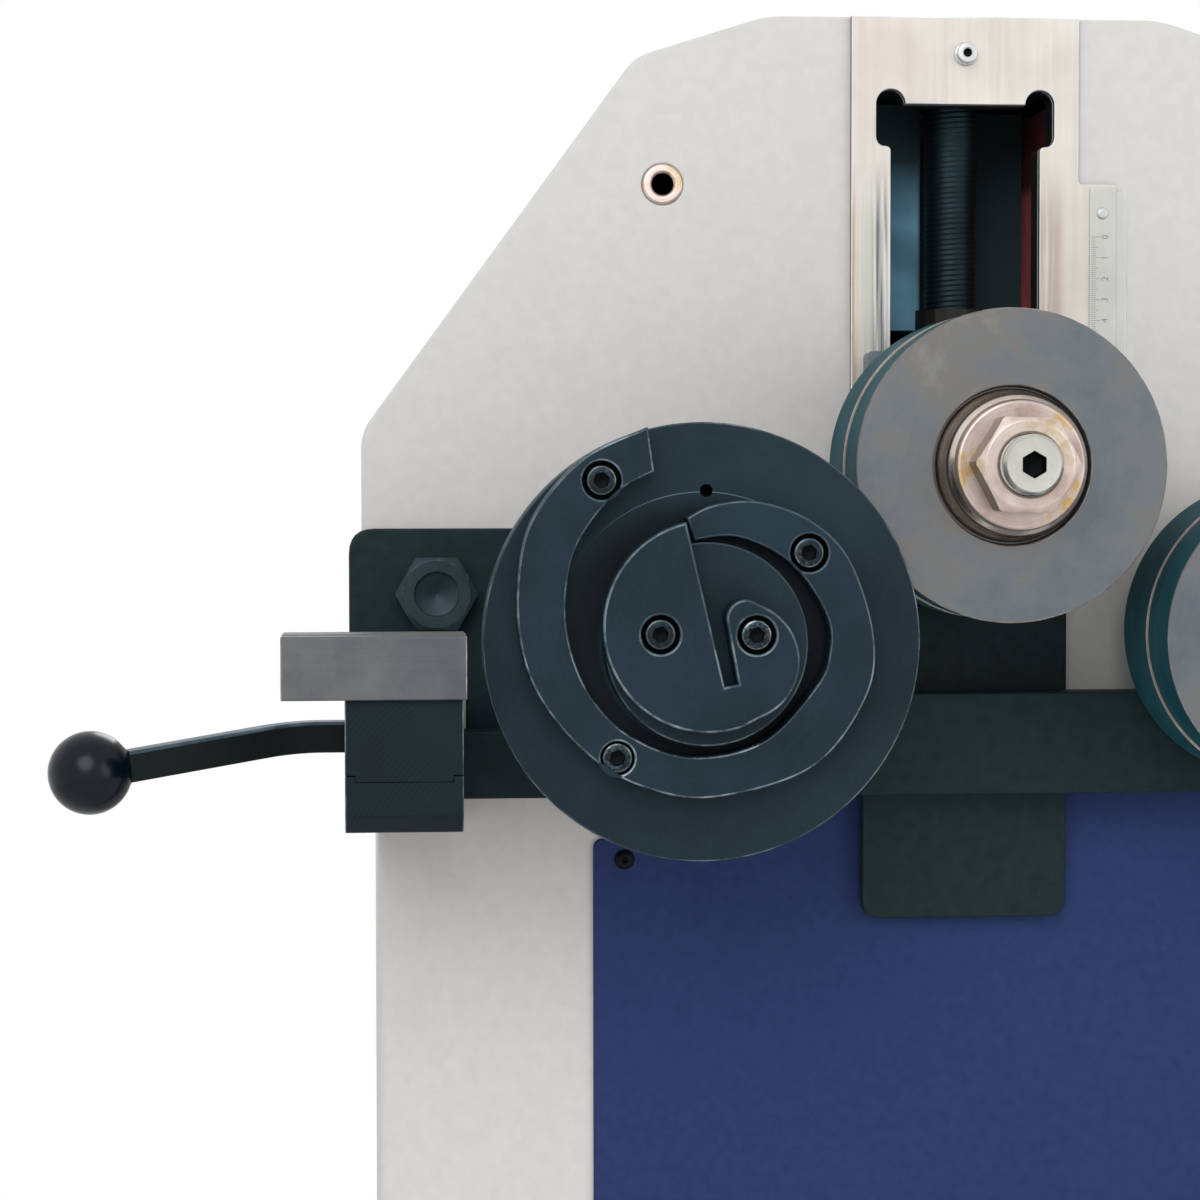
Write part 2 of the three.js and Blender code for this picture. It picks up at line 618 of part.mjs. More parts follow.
function makeHeadShell() {
  const low = FRONT_Y + FRONT_PLATE;
  const high = BACK_Y - SHEET;
  const hollow = plateY(headOutline(SHEET), low - CUT_MARGIN, high + CUT_MARGIN, 5);
  const under = block([-HEAD_HALF + SHEET, low - CUT_MARGIN, DECK_TOP - CUT_MARGIN],
    [HEAD_HALF - SHEET, high + CUT_MARGIN, DECK_TOP + CUT_MARGIN]);
  const crankHole = rod(TOP_HOLE_RADIUS, -SHEET - CUT_MARGIN, CUT_MARGIN).rotate([90, 0, 0]);
  return cut(plateY(headOutline(), low, high, 5), hollow, under, crankHole.translate([0, SPINDLE_Y, HEAD_TOP]));
}

function makeBush() {
  const low = FRONT_Y - BUSH_PROUD;
  const high = FRONT_Y + FRONT_PLATE;
  return turned([
    [BUSH_BORE, high], [BUSH_BORE, low + EDGE_CHAMFER], [BUSH_BORE + EDGE_CHAMFER, low],
    [BUSH_RADIUS - EDGE_CHAMFER, low], [BUSH_RADIUS, low + EDGE_CHAMFER], [BUSH_RADIUS, high],
    [BUSH_BORE, high],
  ], ROUND_TRIM);
}

add(machine, 'head_front_plate', makeFrontPlate(), greyPaint);
add(machine, 'head_rear_plate', makeRearPlate(), milledSteel);
add(machine, 'head_shell', makeHeadShell(), greyPaint);
add(machine, 'head_back_cover', plateY(headOutline(), BACK_Y - SHEET, BACK_Y, 5), greyPaint);
for (const [side, [x, z]] of Object.entries(bushPlaces())) {
  add(machine, `accessory_bush_${side}`, makeBush(), passivated).position.set(x, 0, z);
}

// Slide plate, its bolt and the ruler
const WING_TOP = HEAD_TOP - RULER_WING.drop;
const WING_BOTTOM = WING_TOP - RULER_WING.length;

// The plate has a wing on the right for the ruler, and a thin strip shows past the wing's edge
function makeSlidePlate() {
  const low = FRONT_Y - SLIDE_PLATE_THICKNESS;
  const edge = SLIDE_PLATE_HALF + RULER_WING.width;
  const shape = outline([
    [-SLIDE_PLATE_HALF, SLOT_BOTTOM + SEAT_GAP], [SLIDE_PLATE_HALF, SLOT_BOTTOM + SEAT_GAP],
    [SLIDE_PLATE_HALF, WING_BOTTOM], [edge, WING_BOTTOM], [edge, WING_TOP, RULER_WING.corner],
    [SLIDE_PLATE_HALF, WING_TOP, RULER_WING.corner], [SLIDE_PLATE_HALF, HEAD_TOP], [-SLIDE_PLATE_HALF, HEAD_TOP],
  ]);
  const stripTop = WING_TOP - WING_STRIP.drop;
  const strip = outline([
    [edge - CUT_MARGIN, WING_BOTTOM], [edge + WING_STRIP.width, WING_BOTTOM],
    [edge + WING_STRIP.width, stripTop, WING_STRIP.corner], [edge - CUT_MARGIN, stripTop],
  ]);
  const body = join(plateY(shape, low, FRONT_Y, 4), plateY(strip, FRONT_Y - WING_STRIP.thickness, FRONT_Y, 4));
  const slot = slotTool(low - CUT_MARGIN, FRONT_Y + CUT_MARGIN);
  return cut(body, slot, topBoltHole(low - CUT_MARGIN, FRONT_Y + CUT_MARGIN));
}

function makeTopBolt() {
  const seat = FRONT_Y - SLIDE_PLATE_THICKNESS;
  const collar = rod(TOP_BOLT_COLLAR, seat - TOP_BOLT_FLANGE, seat, ROUND_TRIM);
  const head = hexHead(TOP_BOLT_FLATS, seat - TOP_BOLT_HEAD, seat - TOP_BOLT_FLANGE / 2);
  const end = FRONT_Y + FRONT_PLATE + TOP_BOLT_REACH;
  const shank = rod(TOP_BOLT_SHANK, seat - TOP_BOLT_FLANGE, end, ROUND_SMALL);
  return join(collar, head, shank);
}

function makeRuler() {
  const seat = FRONT_Y - SLIDE_PLATE_THICKNESS;
  const top = WING_TOP - RULER.drop;
  const left = SLIDE_PLATE_HALF + RULER.gap;
  const shape = outline([
    [left, top - RULER.length], [left + RULER.width, top - RULER.length],
    [left + RULER.width, top, RULER.corner], [left, top],
  ]);
  return plateY(shape, seat - RULER.thickness, seat, 4);
}

add(machine, 'slide_plate', makeSlidePlate(), zincPlate);
add(machine, 'slide_plate_bolt', makeTopBolt(), zincPlate).position.set(0, 0, HEAD_TOP - TOP_BOLT_DROP);
add(machine, 'travel_ruler', makeRuler(), ruleSteel);

// Carriage rails and the block that holds the spindle's top
function makeRail(side) {
  const inner = CARRIAGE_BODY_HALF + RUNNING_GAP;
  const xs = [side * inner, side * (inner + RAIL_WIDTH)].sort((a, b) => a - b);
  const top = TOP_BLOCK_BOTTOM - SPINDLE_COLLAR;
  return block([xs[0], FRONT_Y + FRONT_PLATE, RAIL_BOTTOM], [xs[1], REAR_PLATE_Y, top]);
}

function makeTopBlock() {
  const low = FRONT_Y + FRONT_PLATE;
  const body = block(
    [-CARRIAGE_BODY_HALF, low, TOP_BLOCK_BOTTOM],
    [CARRIAGE_BODY_HALF, low + TOP_BLOCK_DEPTH, TOP_BLOCK_TOP],
  );
  const bore = rod(SPINDLE_JOURNAL + RUNNING_GAP, TOP_BLOCK_BOTTOM - CUT_MARGIN, TOP_BLOCK_TOP + CUT_MARGIN);
  const bolt = topBoltHole(low - CUT_MARGIN, low + TOP_BOLT_REACH + RUNNING_GAP);
  return cut(body, bore.rotate([90, 0, 0]).translate([0, SPINDLE_Y, 0]), bolt);
}

add(machine, 'carriage_rail_left', makeRail(-1), redPrimer);
add(machine, 'carriage_rail_right', makeRail(1), redPrimer);
add(machine, 'spindle_top_block', makeTopBlock(), blackenedSteel);

// Carrier: back plate, front bar and two dished bolts
function makeCarrierPlate() {
  const low = FRONT_Y - CARRIER_PLATE;
  const inner = CARRIER_HALF - CARRIER_BLOCK_WIDTH;
  const notch = CARRIER_HALF - NOTCH_WIDTH;
  const shape = mirrored([
    [-UPRIGHT_HALF, SLOT_BOTTOM, SMALL_CORNER],
    [-UPRIGHT_HALF, LINK_TOP, FILLET],
    [-inner, LINK_TOP, FILLET],
    [-inner, CARRIER_TOP, CARRIER_CORNER],
    [-CARRIER_HALF, CARRIER_TOP, CARRIER_CORNER],
    [-CARRIER_HALF, NOTCH_TOP],
    [-notch, NOTCH_TOP, SMALL_CORNER],
    [-notch, BAR_BOTTOM],
    [-UPRIGHT_HALF, BAR_BOTTOM, FILLET],
    [-UPRIGHT_HALF, TAB_BOTTOM, TAB_CORNER],
  ]);
  return cut(plateY(shape, low, FRONT_Y, 5), ...carrierBoltHoles(low - CUT_MARGIN, FRONT_Y + CUT_MARGIN));
}

function makeCarrierBar() {
  const high = FRONT_Y - CARRIER_PLATE;
  const stepOut = BAR_END - TONGUE_LENGTH;
  const shape = mirrored([
    [-stepOut + TONGUE_RUNOUT, BAR_TOP, SMALL_CORNER], [-stepOut, TONGUE_TOP, SMALL_CORNER],
    [-BAR_END, TONGUE_TOP], [-BAR_END, BAR_BOTTOM],
  ]);
  return plateY(shape, high - BAR_THICKNESS, high, 3);
}

function makeCarrierBolt() {
  const { flats, head, shank, reach } = CARRIER_BOLT;
  const { radius, depth, wall } = BOLT_DISH;
  const seat = FRONT_Y - CARRIER_PLATE;
  const hollow = turned([
    [0, seat - head - CUT_MARGIN], [radius, seat - head - CUT_MARGIN], [radius, seat - head + wall],
    [0, seat - head + depth],
  ]);
  const body = join(hexHead(flats, seat - head, seat), rod(shank, seat - CUT_MARGIN, FRONT_Y + reach));
  return cut(body, hollow);
}

add(machine, 'carrier_plate', makeCarrierPlate(), darkPaint);
add(machine, 'carrier_bar', makeCarrierBar(), darkPaint);
for (const [side, sign] of [['left', -1], ['right', 1]]) {
  const bolt = add(machine, `carrier_bolt_${side}`, makeCarrierBolt(), darkPaint);
  bolt.position.set(sign * CARRIER_BOLT_X, 0, CARRIER_BOLT_Z);
}

// Bearings of the lower shafts
function makeBearing(flangeY, sleeveEnd) {
  const step = Math.sign(sleeveEnd - flangeY);
  const seat = flangeY + step * BEARING_FLANGE;
  return turned([
    [BORE_RADIUS, flangeY], [BEARING_FLANGE_RADIUS, flangeY], [BEARING_FLANGE_RADIUS, seat],
    [BEARING_RADIUS, seat], [BEARING_RADIUS, sleeveEnd], [BORE_RADIUS, sleeveEnd], [BORE_RADIUS, flangeY],
  ], ROUND_MEDIUM);
}

for (const [side, sign] of [['left', -1], ['right', 1]]) {
  const front = makeBearing(FRONT_Y - BEARING_FLANGE, FRONT_Y + FRONT_PLATE + BEARING_TAIL);
  const rear = makeBearing(REAR_PLATE_Y - BEARING_FLANGE, REAR_PLATE_Y + REAR_PLATE);
  add(machine, `bearing_${side}_front`, front, groundSteel).position.set(sign * SHAFT_SPREAD, 0, SHAFT_HEIGHT);
  add(machine, `bearing_${side}_rear`, rear, groundSteel).position.set(sign * SHAFT_SPREAD, 0, SHAFT_HEIGHT);
}

// Gear train
function gearOutline(teeth, phase) {
  const pitchRadius = GEAR_MODULE * teeth / 2;
  const pitch = 2 * Math.PI / teeth;
  const half = pitch / 4 * TOOTH_THINNING;
  const tip = pitchRadius + GEAR_MODULE * TOOTH_THINNING;
  const root = pitchRadius - GEAR_MODULE * TOOTH_DEPTH_SHARE;
  const shape = new THREE.Shape();
  for (let i = 0; i < teeth; i += 1) {
    const centre = phase + i * pitch;
    const corners = [
      [root, centre - half * TOOTH_ROOT_SHARE], [tip, centre - half * TOOTH_TIP_SHARE],
      [tip, centre + half * TOOTH_TIP_SHARE], [root, centre + half * TOOTH_ROOT_SHARE],
    ];
    corners.forEach(([r, angle], k) => {
      shape[i === 0 && k === 0 ? 'moveTo' : 'lineTo'](r * Math.cos(angle), r * Math.sin(angle));
    });
  }
  shape.closePath();
  return shape;
}

function makeShaftGear(phase) {
  const blank = plateY(gearOutline(GEAR_TEETH, phase), 0, GEAR_WIDTH);
  const rim = GEAR_RADIUS - GEAR_RIM;
  const hollowDepth = (GEAR_WIDTH - GEAR_WEB) / 2;
  const ring = (low, high) => turned([
    [GEAR_HUB_RADIUS, low], [rim, low], [rim, high], [GEAR_HUB_RADIUS, high], [GEAR_HUB_RADIUS, low],
  ]);
  const bore = rod(BORE_RADIUS, -CUT_MARGIN, GEAR_WIDTH + CUT_MARGIN);
  const far = ring(GEAR_WIDTH - hollowDepth, GEAR_WIDTH + CUT_MARGIN);
  return cut(blank, ring(-CUT_MARGIN, hollowDepth), far, bore);
}

// A pinion tooth points at the left gear's centre, and each gear has a gap where the pinion has a tooth
const LEFT_LINE = Math.PI + Math.asin(PINION_RISE / (GEAR_RADIUS + PINION_RADIUS));
const RIGHT_LINE = 3 * Math.PI - LEFT_LINE;
const PINION_PITCH = 2 * Math.PI / PINION_TEETH;
const GEAR_PITCH = 2 * Math.PI / GEAR_TEETH;
const LINE_ANGLE = RIGHT_LINE - LEFT_LINE;
const TOOTH_OFFSET = Math.ceil(LINE_ANGLE / PINION_PITCH) * PINION_PITCH - LINE_ANGLE;
const LEFT_GEAR_PHASE = LEFT_LINE - Math.PI + GEAR_PITCH / 2;
const RIGHT_GEAR_PHASE = RIGHT_LINE - Math.PI - TOOTH_OFFSET * PINION_RADIUS / GEAR_RADIUS + GEAR_PITCH / 2;

function makeGearbox() {
  const low = GEARBOX_Y;
  const { half, flange, depth, foot, wall } = GEARBOX;
  const square = rectangle(half, -half, half, wall);
  const housing = plateY(square, low + wall, low + depth, 3).translate([0, 0, PINION_HEIGHT]);
  const nose = rodAt(0, PINION_HEIGHT, flange, low, low + wall + CUT_MARGIN);
  const legs = [-1, 1].map((side) => block(
    [side > 0 ? half - foot : -half, low + wall, DECK_TOP],
    [side > 0 ? half : -half + foot, low + depth, PINION_HEIGHT - half / 2],
  ));
  const bore = rodAt(0, PINION_HEIGHT, PINION_SHAFT_RADIUS + RUNNING_GAP, low - CUT_MARGIN,
    GEAR_Y + GEAR_WIDTH + PINION_SHAFT_REACH + RUNNING_GAP);
  return cut(join(housing, nose, ...legs), bore);
}

function makeMotor() {
  const low = GEARBOX_Y + GEARBOX.depth;
  const high = BACK_Y - SHEET - MOTOR.backGap;
  const { radius, endRise, flange, fanCover } = MOTOR;
  const { count, depth, slope } = MOTOR_FINS;
  const shape = new THREE.Shape();
  for (let i = 0; i < 2 * count; i += 1) {
    const r = i % 2 ? radius - depth : radius;
    for (const share of [slope, 1 - slope]) {
      const angle = (i + share) * Math.PI / count;
      shape[i === 0 && share === slope ? 'moveTo' : 'lineTo'](r * Math.cos(angle), r * Math.sin(angle));
    }
  }
  shape.closePath();
  const end = (a, b) => rod(radius + endRise, a, b, ROUND_MEDIUM);
  const body = join(plateY(shape, low, high), end(low, low + flange), end(high - fanCover, high));
  const box = TERMINAL_BOX;
  return join(body, block(
    [-box.width / 2, low + box.inset, radius - depth],
    [box.width / 2, high - box.inset, radius + box.height],
  ));
}

add(machine, 'gearbox', makeGearbox(), motorPaint);
add(machine, 'drive_motor', makeMotor(), motorPaint).position.set(0, 0, PINION_HEIGHT);

const pinionGroup = groupAt(0, GEAR_Y, PINION_HEIGHT);
const pinion = join(
  plateY(gearOutline(PINION_TEETH, LEFT_LINE), 0, GEAR_WIDTH),
  rod(PINION_SHAFT_RADIUS, GEAR_WIDTH - CUT_MARGIN, GEAR_WIDTH + PINION_SHAFT_REACH),
);
add(pinionGroup, 'drive_pinion', pinion, groundSteel);

// Shafts: local Y = 0 on the head's front face, negative towards the operator
const SHAFT_BACK = GEAR_Y + GEAR_WIDTH + GEAR_CLEARANCE / 2 - FRONT_Y;
const UPPER_SHAFT_BACK = FRONT_PLATE + PLATE_SPACING - GEAR_CLEARANCE;

function shaftProfile(back) {
  const { radius, back: collarBack, front: collarFront } = SHAFT_COLLAR;
  return [
    [0, back], [SHAFT_RADIUS - EDGE_CHAMFER, back], [SHAFT_RADIUS, back - EDGE_CHAMFER],
    [SHAFT_RADIUS, -collarBack], [radius, -collarBack], [radius, -collarFront], [SHAFT_RADIUS, -collarFront],
  ];
}

function makeRollerShaft(back) {
  const shoulder = ROLLER_FRONT - RECESS_DEPTH - SHOULDER_SETBACK;
  const body = turned([
    ...shaftProfile(back),
    [SHAFT_RADIUS, -shoulder], [SHAFT_THREAD_RADIUS, -shoulder],
    [SHAFT_THREAD_RADIUS, -SHAFT_END + EDGE_CHAMFER], [SHAFT_THREAD_RADIUS - EDGE_CHAMFER, -SHAFT_END],
    [0, -SHAFT_END],
  ], ROUND_MEDIUM);
  const socket = plateY(
    hexagon(SHAFT_SOCKET_FLATS, degrees(30)), -SHAFT_END - CUT_MARGIN, -SHAFT_END + SHAFT_SOCKET_DEPTH,
  );
  return cut(body, socket);
}

function makeRollerOuter() {
  const back = -ROLLER_FRONT + ROLLER_OUTER_WIDTH;
  return turned([
    [BORE_RADIUS, back], [ROLLER_RADIUS - ROLLER_CHAMFER, back], [ROLLER_RADIUS, back - ROLLER_CHAMFER],
    [ROLLER_RADIUS, -ROLLER_FRONT + ROLLER_CHAMFER], [ROLLER_RADIUS - ROLLER_CHAMFER, -ROLLER_FRONT],
    [RECESS_RADIUS, -ROLLER_FRONT], [RECESS_RADIUS, -ROLLER_FRONT + RECESS_DEPTH],
    [BORE_RADIUS, -ROLLER_FRONT + RECESS_DEPTH], [BORE_RADIUS, back],
  ], ROUND_LARGE);
}

function makeRollerInner() {
  const back = -SHAFT_COLLAR.front - SEAT_GAP;
  const front = -ROLLER_FRONT + ROLLER_OUTER_WIDTH + SEAT_GAP;
  const ring = front + ROLLER_RING_WIDTH;
  const ringRadius = ROLLER_RADIUS - ROLLER_RING_STEP;
  return turned([
    [BORE_RADIUS, back], [ROLLER_RADIUS - ROLLER_CHAMFER, back], [ROLLER_RADIUS, back - ROLLER_CHAMFER],
    [ROLLER_RADIUS, ring], [ringRadius, ring], [ringRadius, front], [BORE_RADIUS, front], [BORE_RADIUS, back],
  ], ROUND_LARGE);
}

function makeClampWasher() {
  const back = -ROLLER_FRONT + RECESS_DEPTH - SEAT_GAP;
  const step = back - CLAMP_COLLAR_LENGTH;
  const bore = SHAFT_THREAD_RADIUS + RUNNING_GAP;
  return turned([
    [bore, back], [CLAMP_COLLAR_RADIUS, back], [CLAMP_COLLAR_RADIUS, step + EDGE_CHAMFER],
    [CLAMP_COLLAR_RADIUS - EDGE_CHAMFER, step],
    [CLAMP_WASHER_RADIUS, step], [CLAMP_WASHER_RADIUS, -CLAMP_WASHER_FRONT + CLAMP_WASHER_CHAMFER],
    [CLAMP_WASHER_RADIUS - CLAMP_WASHER_CHAMFER, -CLAMP_WASHER_FRONT], [bore, -CLAMP_WASHER_FRONT],
    [bore, back],
  ], ROUND_MEDIUM);
}

function makeRollerNut(turn) {
  const back = -CLAMP_WASHER_FRONT - SEAT_GAP;
  const bore = rod(SHAFT_THREAD_RADIUS + RUNNING_GAP, back - NUT_HEIGHT - CUT_MARGIN, back + CUT_MARGIN);
  return cut(hexHead(NUT_FLATS, back - NUT_HEIGHT, back, turn), bore);
}

function addRollerSet(group, name, back, nutTurn) {
  add(group, `${name}_shaft`, makeRollerShaft(back), groundSteel);
  add(group, `${name}_roller_inner`, makeRollerInner(), turnedSteel);
  add(group, `${name}_roller_outer`, makeRollerOuter(), turnedSteel);
  add(group, `${name}_washer`, makeClampWasher(), passivated);
  add(group, `${name}_nut`, makeRollerNut(nutTurn), passivated);
}

const gearLocalY = GEAR_Y - FRONT_Y;
const rightGroup = groupAt(SHAFT_SPREAD, FRONT_Y, SHAFT_HEIGHT);
addRollerSet(rightGroup, 'lower_right', SHAFT_BACK, degrees(11));
add(rightGroup, 'lower_right_gear', makeShaftGear(RIGHT_GEAR_PHASE), groundSteel).position.y = gearLocalY;

const upperGroup = groupAt(0, FRONT_Y, ROLLER_HEIGHT);
addRollerSet(upperGroup, 'upper', UPPER_SHAFT_BACK, degrees(-2));

// Carriage and the bronze nut in its top
function makeCarriage() {
  const bodyFront = FRONT_PLATE + RUNNING_GAP;
  const neckHalf = SLOT_HALF - RUNNING_GAP;
  const flangeBack = SLIDE_PLATE_THICKNESS + RUNNING_GAP;
  const flangeFront = flangeBack + CARRIAGE_FLANGE;
  const face = rectangle(CARRIAGE_FLANGE_HALF, -CARRIAGE_FLANGE_BOTTOM, CARRIAGE_FLANGE_TOP, MACHINED_CORNER);
  const flange = plateY(face, -flangeFront, -flangeBack, 3);
  const neckBottom = CARRIAGE_FLANGE_BOTTOM - RUNNING_GAP;
  const neck = block(
    [-neckHalf, -flangeBack - CUT_MARGIN, -neckBottom],
    [neckHalf, bodyFront + CUT_MARGIN, CARRIAGE_BODY_TOP],
  );
  const body = block(
    [-CARRIAGE_BODY_HALF, bodyFront, -neckBottom],
    [CARRIAGE_BODY_HALF, FRONT_PLATE + PLATE_SPACING - RUNNING_GAP, CARRIAGE_BODY_TOP],
  );
  const bore = rod(BORE_RADIUS, -flangeFront - CUT_MARGIN, FRONT_PLATE + PLATE_SPACING + CUT_MARGIN);
  const nutFloor = CARRIAGE_BODY_TOP - NUT_BUSH_DEPTH;
  const nutSeat = uprightRod(NUT_BUSH_RADIUS + RUNNING_GAP, nutFloor, CARRIAGE_BODY_TOP + CUT_MARGIN);
  const spindleWell = uprightRod(SPINDLE_RADIUS + 2 * RUNNING_GAP, 0, CARRIAGE_BODY_TOP);
  return cut(join(flange, neck, body), bore, nutSeat, spindleWell);
}

function uprightRod(radius, low, high) {
  return rod(radius, low, high).rotate([90, 0, 0]).translate([0, SPINDLE_BEHIND_FRONT, 0]);
}

function makeSpindleNut() {
  const outer = uprightRod(NUT_BUSH_RADIUS, CARRIAGE_BODY_TOP - NUT_BUSH_DEPTH + SEAT_GAP, NUT_BUSH_TOP);
  const bore = uprightRod(SPINDLE_RADIUS + RUNNING_GAP, -CUT_MARGIN, NUT_BUSH_TOP + CUT_MARGIN);
  return cut(outer, bore);
}

add(upperGroup, 'carriage', makeCarriage(), blackenedSteel);
add(upperGroup, 'spindle_nut', makeSpindleNut(), bronze);

function makeSpindle() {
  const collarTop = TOP_BLOCK_BOTTOM - SEAT_GAP;
  const journalTop = TOP_BLOCK_TOP + SEAT_GAP;
  const body = turned([
    [0, SPINDLE_END], [SPINDLE_RADIUS - SPINDLE_CHAMFER, SPINDLE_END],
    [SPINDLE_RADIUS, SPINDLE_END + SPINDLE_CHAMFER],
    [SPINDLE_RADIUS, collarTop - SPINDLE_COLLAR], [SPINDLE_COLLAR_RADIUS, collarTop - SPINDLE_COLLAR],
    [SPINDLE_COLLAR_RADIUS, collarTop], [SPINDLE_JOURNAL, collarTop],
    [SPINDLE_JOURNAL, journalTop], [0, journalTop],
  ], ROUND_MEDIUM).rotate([90, 0, 0]);
  const hex = plateZ(hexagon(SPINDLE_HEX_FLATS), journalTop - CUT_MARGIN, HEAD_TOP - SPINDLE_HEX_RECESS);
  return join(body, hex);
}

const spindleGroup = groupAt(0, SPINDLE_Y, 0);
add(spindleGroup, 'lift_spindle', makeSpindle(), blackenedSteel);

// Scroll tool
function fromPolar([angle, radius]) {
  return new THREE.Vector2(radius * Math.cos(degrees(angle)), radius * Math.sin(degrees(angle)));
}

function bandShape() {
  const edge = (points, count) => new THREE.SplineCurve(points.map(fromPolar)).getPoints(count);
  const outer = edge(BAND_OUTER_EDGE, BAND_OUTER_STEPS);
  return new THREE.Shape([...outer, ...edge(BAND_INNER_EDGE, BAND_INNER_STEPS)]);
}

function hookShape() {
  const shape = new THREE.Shape();
  const arc = ({ x, z, radius, from, to }, backwards = false) => {
    shape.absarc(x, z, radius, degrees(from), degrees(to), backwards);
  };
  shape.moveTo(...HOOK_TIP);
  arc(HOOK_BIG_ARC);
  arc(HOOK_SMALL_ARC);
  arc(HOOK_NOSE);
  shape.lineTo(...HOOK_SLOT_RIGHT);
  shape.lineTo(...HOOK_SLOT_LEFT);
  shape.lineTo(...HOOK_SLOT_NECK);
  shape.closePath();
  return shape;
}

function screwCut([x, z], front, back) {
  const { shank, height } = SOCKET_SCREW;
  const floor = -front + height + SCREW_RECESS;
  const head = rodAt(x, z, COUNTERBORE_RADIUS, -front - CUT_MARGIN, floor, ROUND_TRIM);
  const hole = rodAt(x, z, shank + RUNNING_GAP, -front, back, ROUND_SMALL);
  return head.add(hole);
}

function makeScrollDisc() {
  const { radius, back, front, chamfer } = SCROLL_DISC;
  const hubBack = SHAFT_COLLAR.front + SEAT_GAP;
  const boreEnd = SCROLL_SHAFT_END + RUNNING_GAP;
  const body = turned([
    [BORE_RADIUS, -hubBack], [SCROLL_HUB_RADIUS, -hubBack], [SCROLL_HUB_RADIUS, -back],
    [radius - chamfer, -back], [radius, -back - chamfer], [radius, -front + chamfer], [radius - chamfer, -front],
    [SCROLL_BOSS_RADIUS, -front], [SCROLL_BOSS_RADIUS, -SCROLL_BOSS_FRONT + chamfer],
    [SCROLL_BOSS_RADIUS - chamfer, -SCROLL_BOSS_FRONT], [0, -SCROLL_BOSS_FRONT],
    [0, -boreEnd], [BORE_RADIUS, -boreEnd], [BORE_RADIUS, -hubBack],
  ], ROUND_LARGE);
  const [pinX, pinZ] = PIN_HOLE.at;
  const pin = rodAt(pinX, pinZ, PIN_HOLE.radius, -front - CUT_MARGIN, -PIN_FLOOR, ROUND_SMALL);
  const tapped = (places, seat) => places.map(([x, z]) => {
    const end = seat + SOCKET_SCREW.length - SOCKET_SCREW.height;
    return rodAt(x, z, SOCKET_SCREW.shank + RUNNING_GAP, -SCROLL_BOSS_FRONT - CUT_MARGIN, end, ROUND_SMALL);
  });
  const bandSeat = -SCROLL_BOSS_FRONT + SOCKET_SCREW.height + SCREW_RECESS + RUNNING_GAP;
  const hookSeat = -SCROLL_HOOK_FRONT + SOCKET_SCREW.height + SCREW_RECESS + RUNNING_GAP;
  return cut(body, pin, ...tapped(BAND_SCREWS, bandSeat), ...tapped(HOOK_SCREWS, hookSeat));
}

function makeScrollBand() {
  const low = -SCROLL_BOSS_FRONT;
  const high = -SCROLL_DISC.front - SEAT_GAP;
  const body = plateY(bandShape(), low, high);
  return cut(body, ...BAND_SCREWS.map((place) => screwCut(place, SCROLL_BOSS_FRONT, high + CUT_MARGIN)));
}

function makeScrollHook() {
  const low = -SCROLL_HOOK_FRONT;
  const high = -SCROLL_BOSS_FRONT - SEAT_GAP;
  const body = plateY(hookShape(), low, high, 8);
  return cut(body, ...HOOK_SCREWS.map((place) => screwCut(place, SCROLL_HOOK_FRONT, high + CUT_MARGIN)));
}

function makeSocketScrew(front) {
  const { head, height, edge, shank, length, flats, socket } = SOCKET_SCREW;
  const top = -front + SCREW_RECESS;
  const seat = top + height - SEAT_GAP;
  const body = turned([
    [0, top], [head - edge, top], [head, top + edge], [head, seat],
    [shank, seat], [shank, top + length], [0, top + length],
  ], ROUND_TRIM);
  return cut(body, plateY(hexagon(flats), top - CUT_MARGIN, top + socket));
}

function makeScrollShaft() {
  return turned([
    ...shaftProfile(SHAFT_BACK), [SHAFT_RADIUS, -SCROLL_SHAFT_END + EDGE_CHAMFER],
    [SHAFT_RADIUS - EDGE_CHAMFER, -SCROLL_SHAFT_END], [0, -SCROLL_SHAFT_END],
  ], ROUND_MEDIUM);
}

const scrollGroup = groupAt(-SHAFT_SPREAD, FRONT_Y, SHAFT_HEIGHT);
add(scrollGroup, 'scroll_shaft', makeScrollShaft(), groundSteel);
add(scrollGroup, 'scroll_gear', makeShaftGear(LEFT_GEAR_PHASE), groundSteel).position.y = gearLocalY;
add(scrollGroup, 'scroll_disc', makeScrollDisc(), blackenedSteel);
add(scrollGroup, 'scroll_band', makeScrollBand(), blackenedSteel);
add(scrollGroup, 'scroll_hook', makeScrollHook(), blackenedSteel);
BAND_SCREWS.forEach(([x, z], i) => {
  const screw = add(scrollGroup, `band_screw_${i + 1}`, makeSocketScrew(SCROLL_BOSS_FRONT), blackenedSteel);
  screw.position.set(x, 0, z);
});
HOOK_SCREWS.forEach(([x, z], i) => {
  const screw = add(scrollGroup, `hook_screw_${i + 1}`, makeSocketScrew(SCROLL_HOOK_FRONT), blackenedSteel);
  screw.position.set(x, 0, z);
});

// Rod guide: two blocks that grip the bar's tongue, the rod block on top, and the clamp lever
const TONGUE_FRONT = CARRIER_PLATE + BAR_THICKNESS;
const FINGER = CARRIER_PLATE - 2 * RUNNING_GAP;
const LEVER_SLOT_BACK = LEVER_DEPTH - LEVER_THICKNESS / 2 - LEVER_SLOT_GAP;
const LEVER_SLOT_FRONT = LEVER_DEPTH + LEVER_THICKNESS / 2 + LEVER_SLOT_GAP;

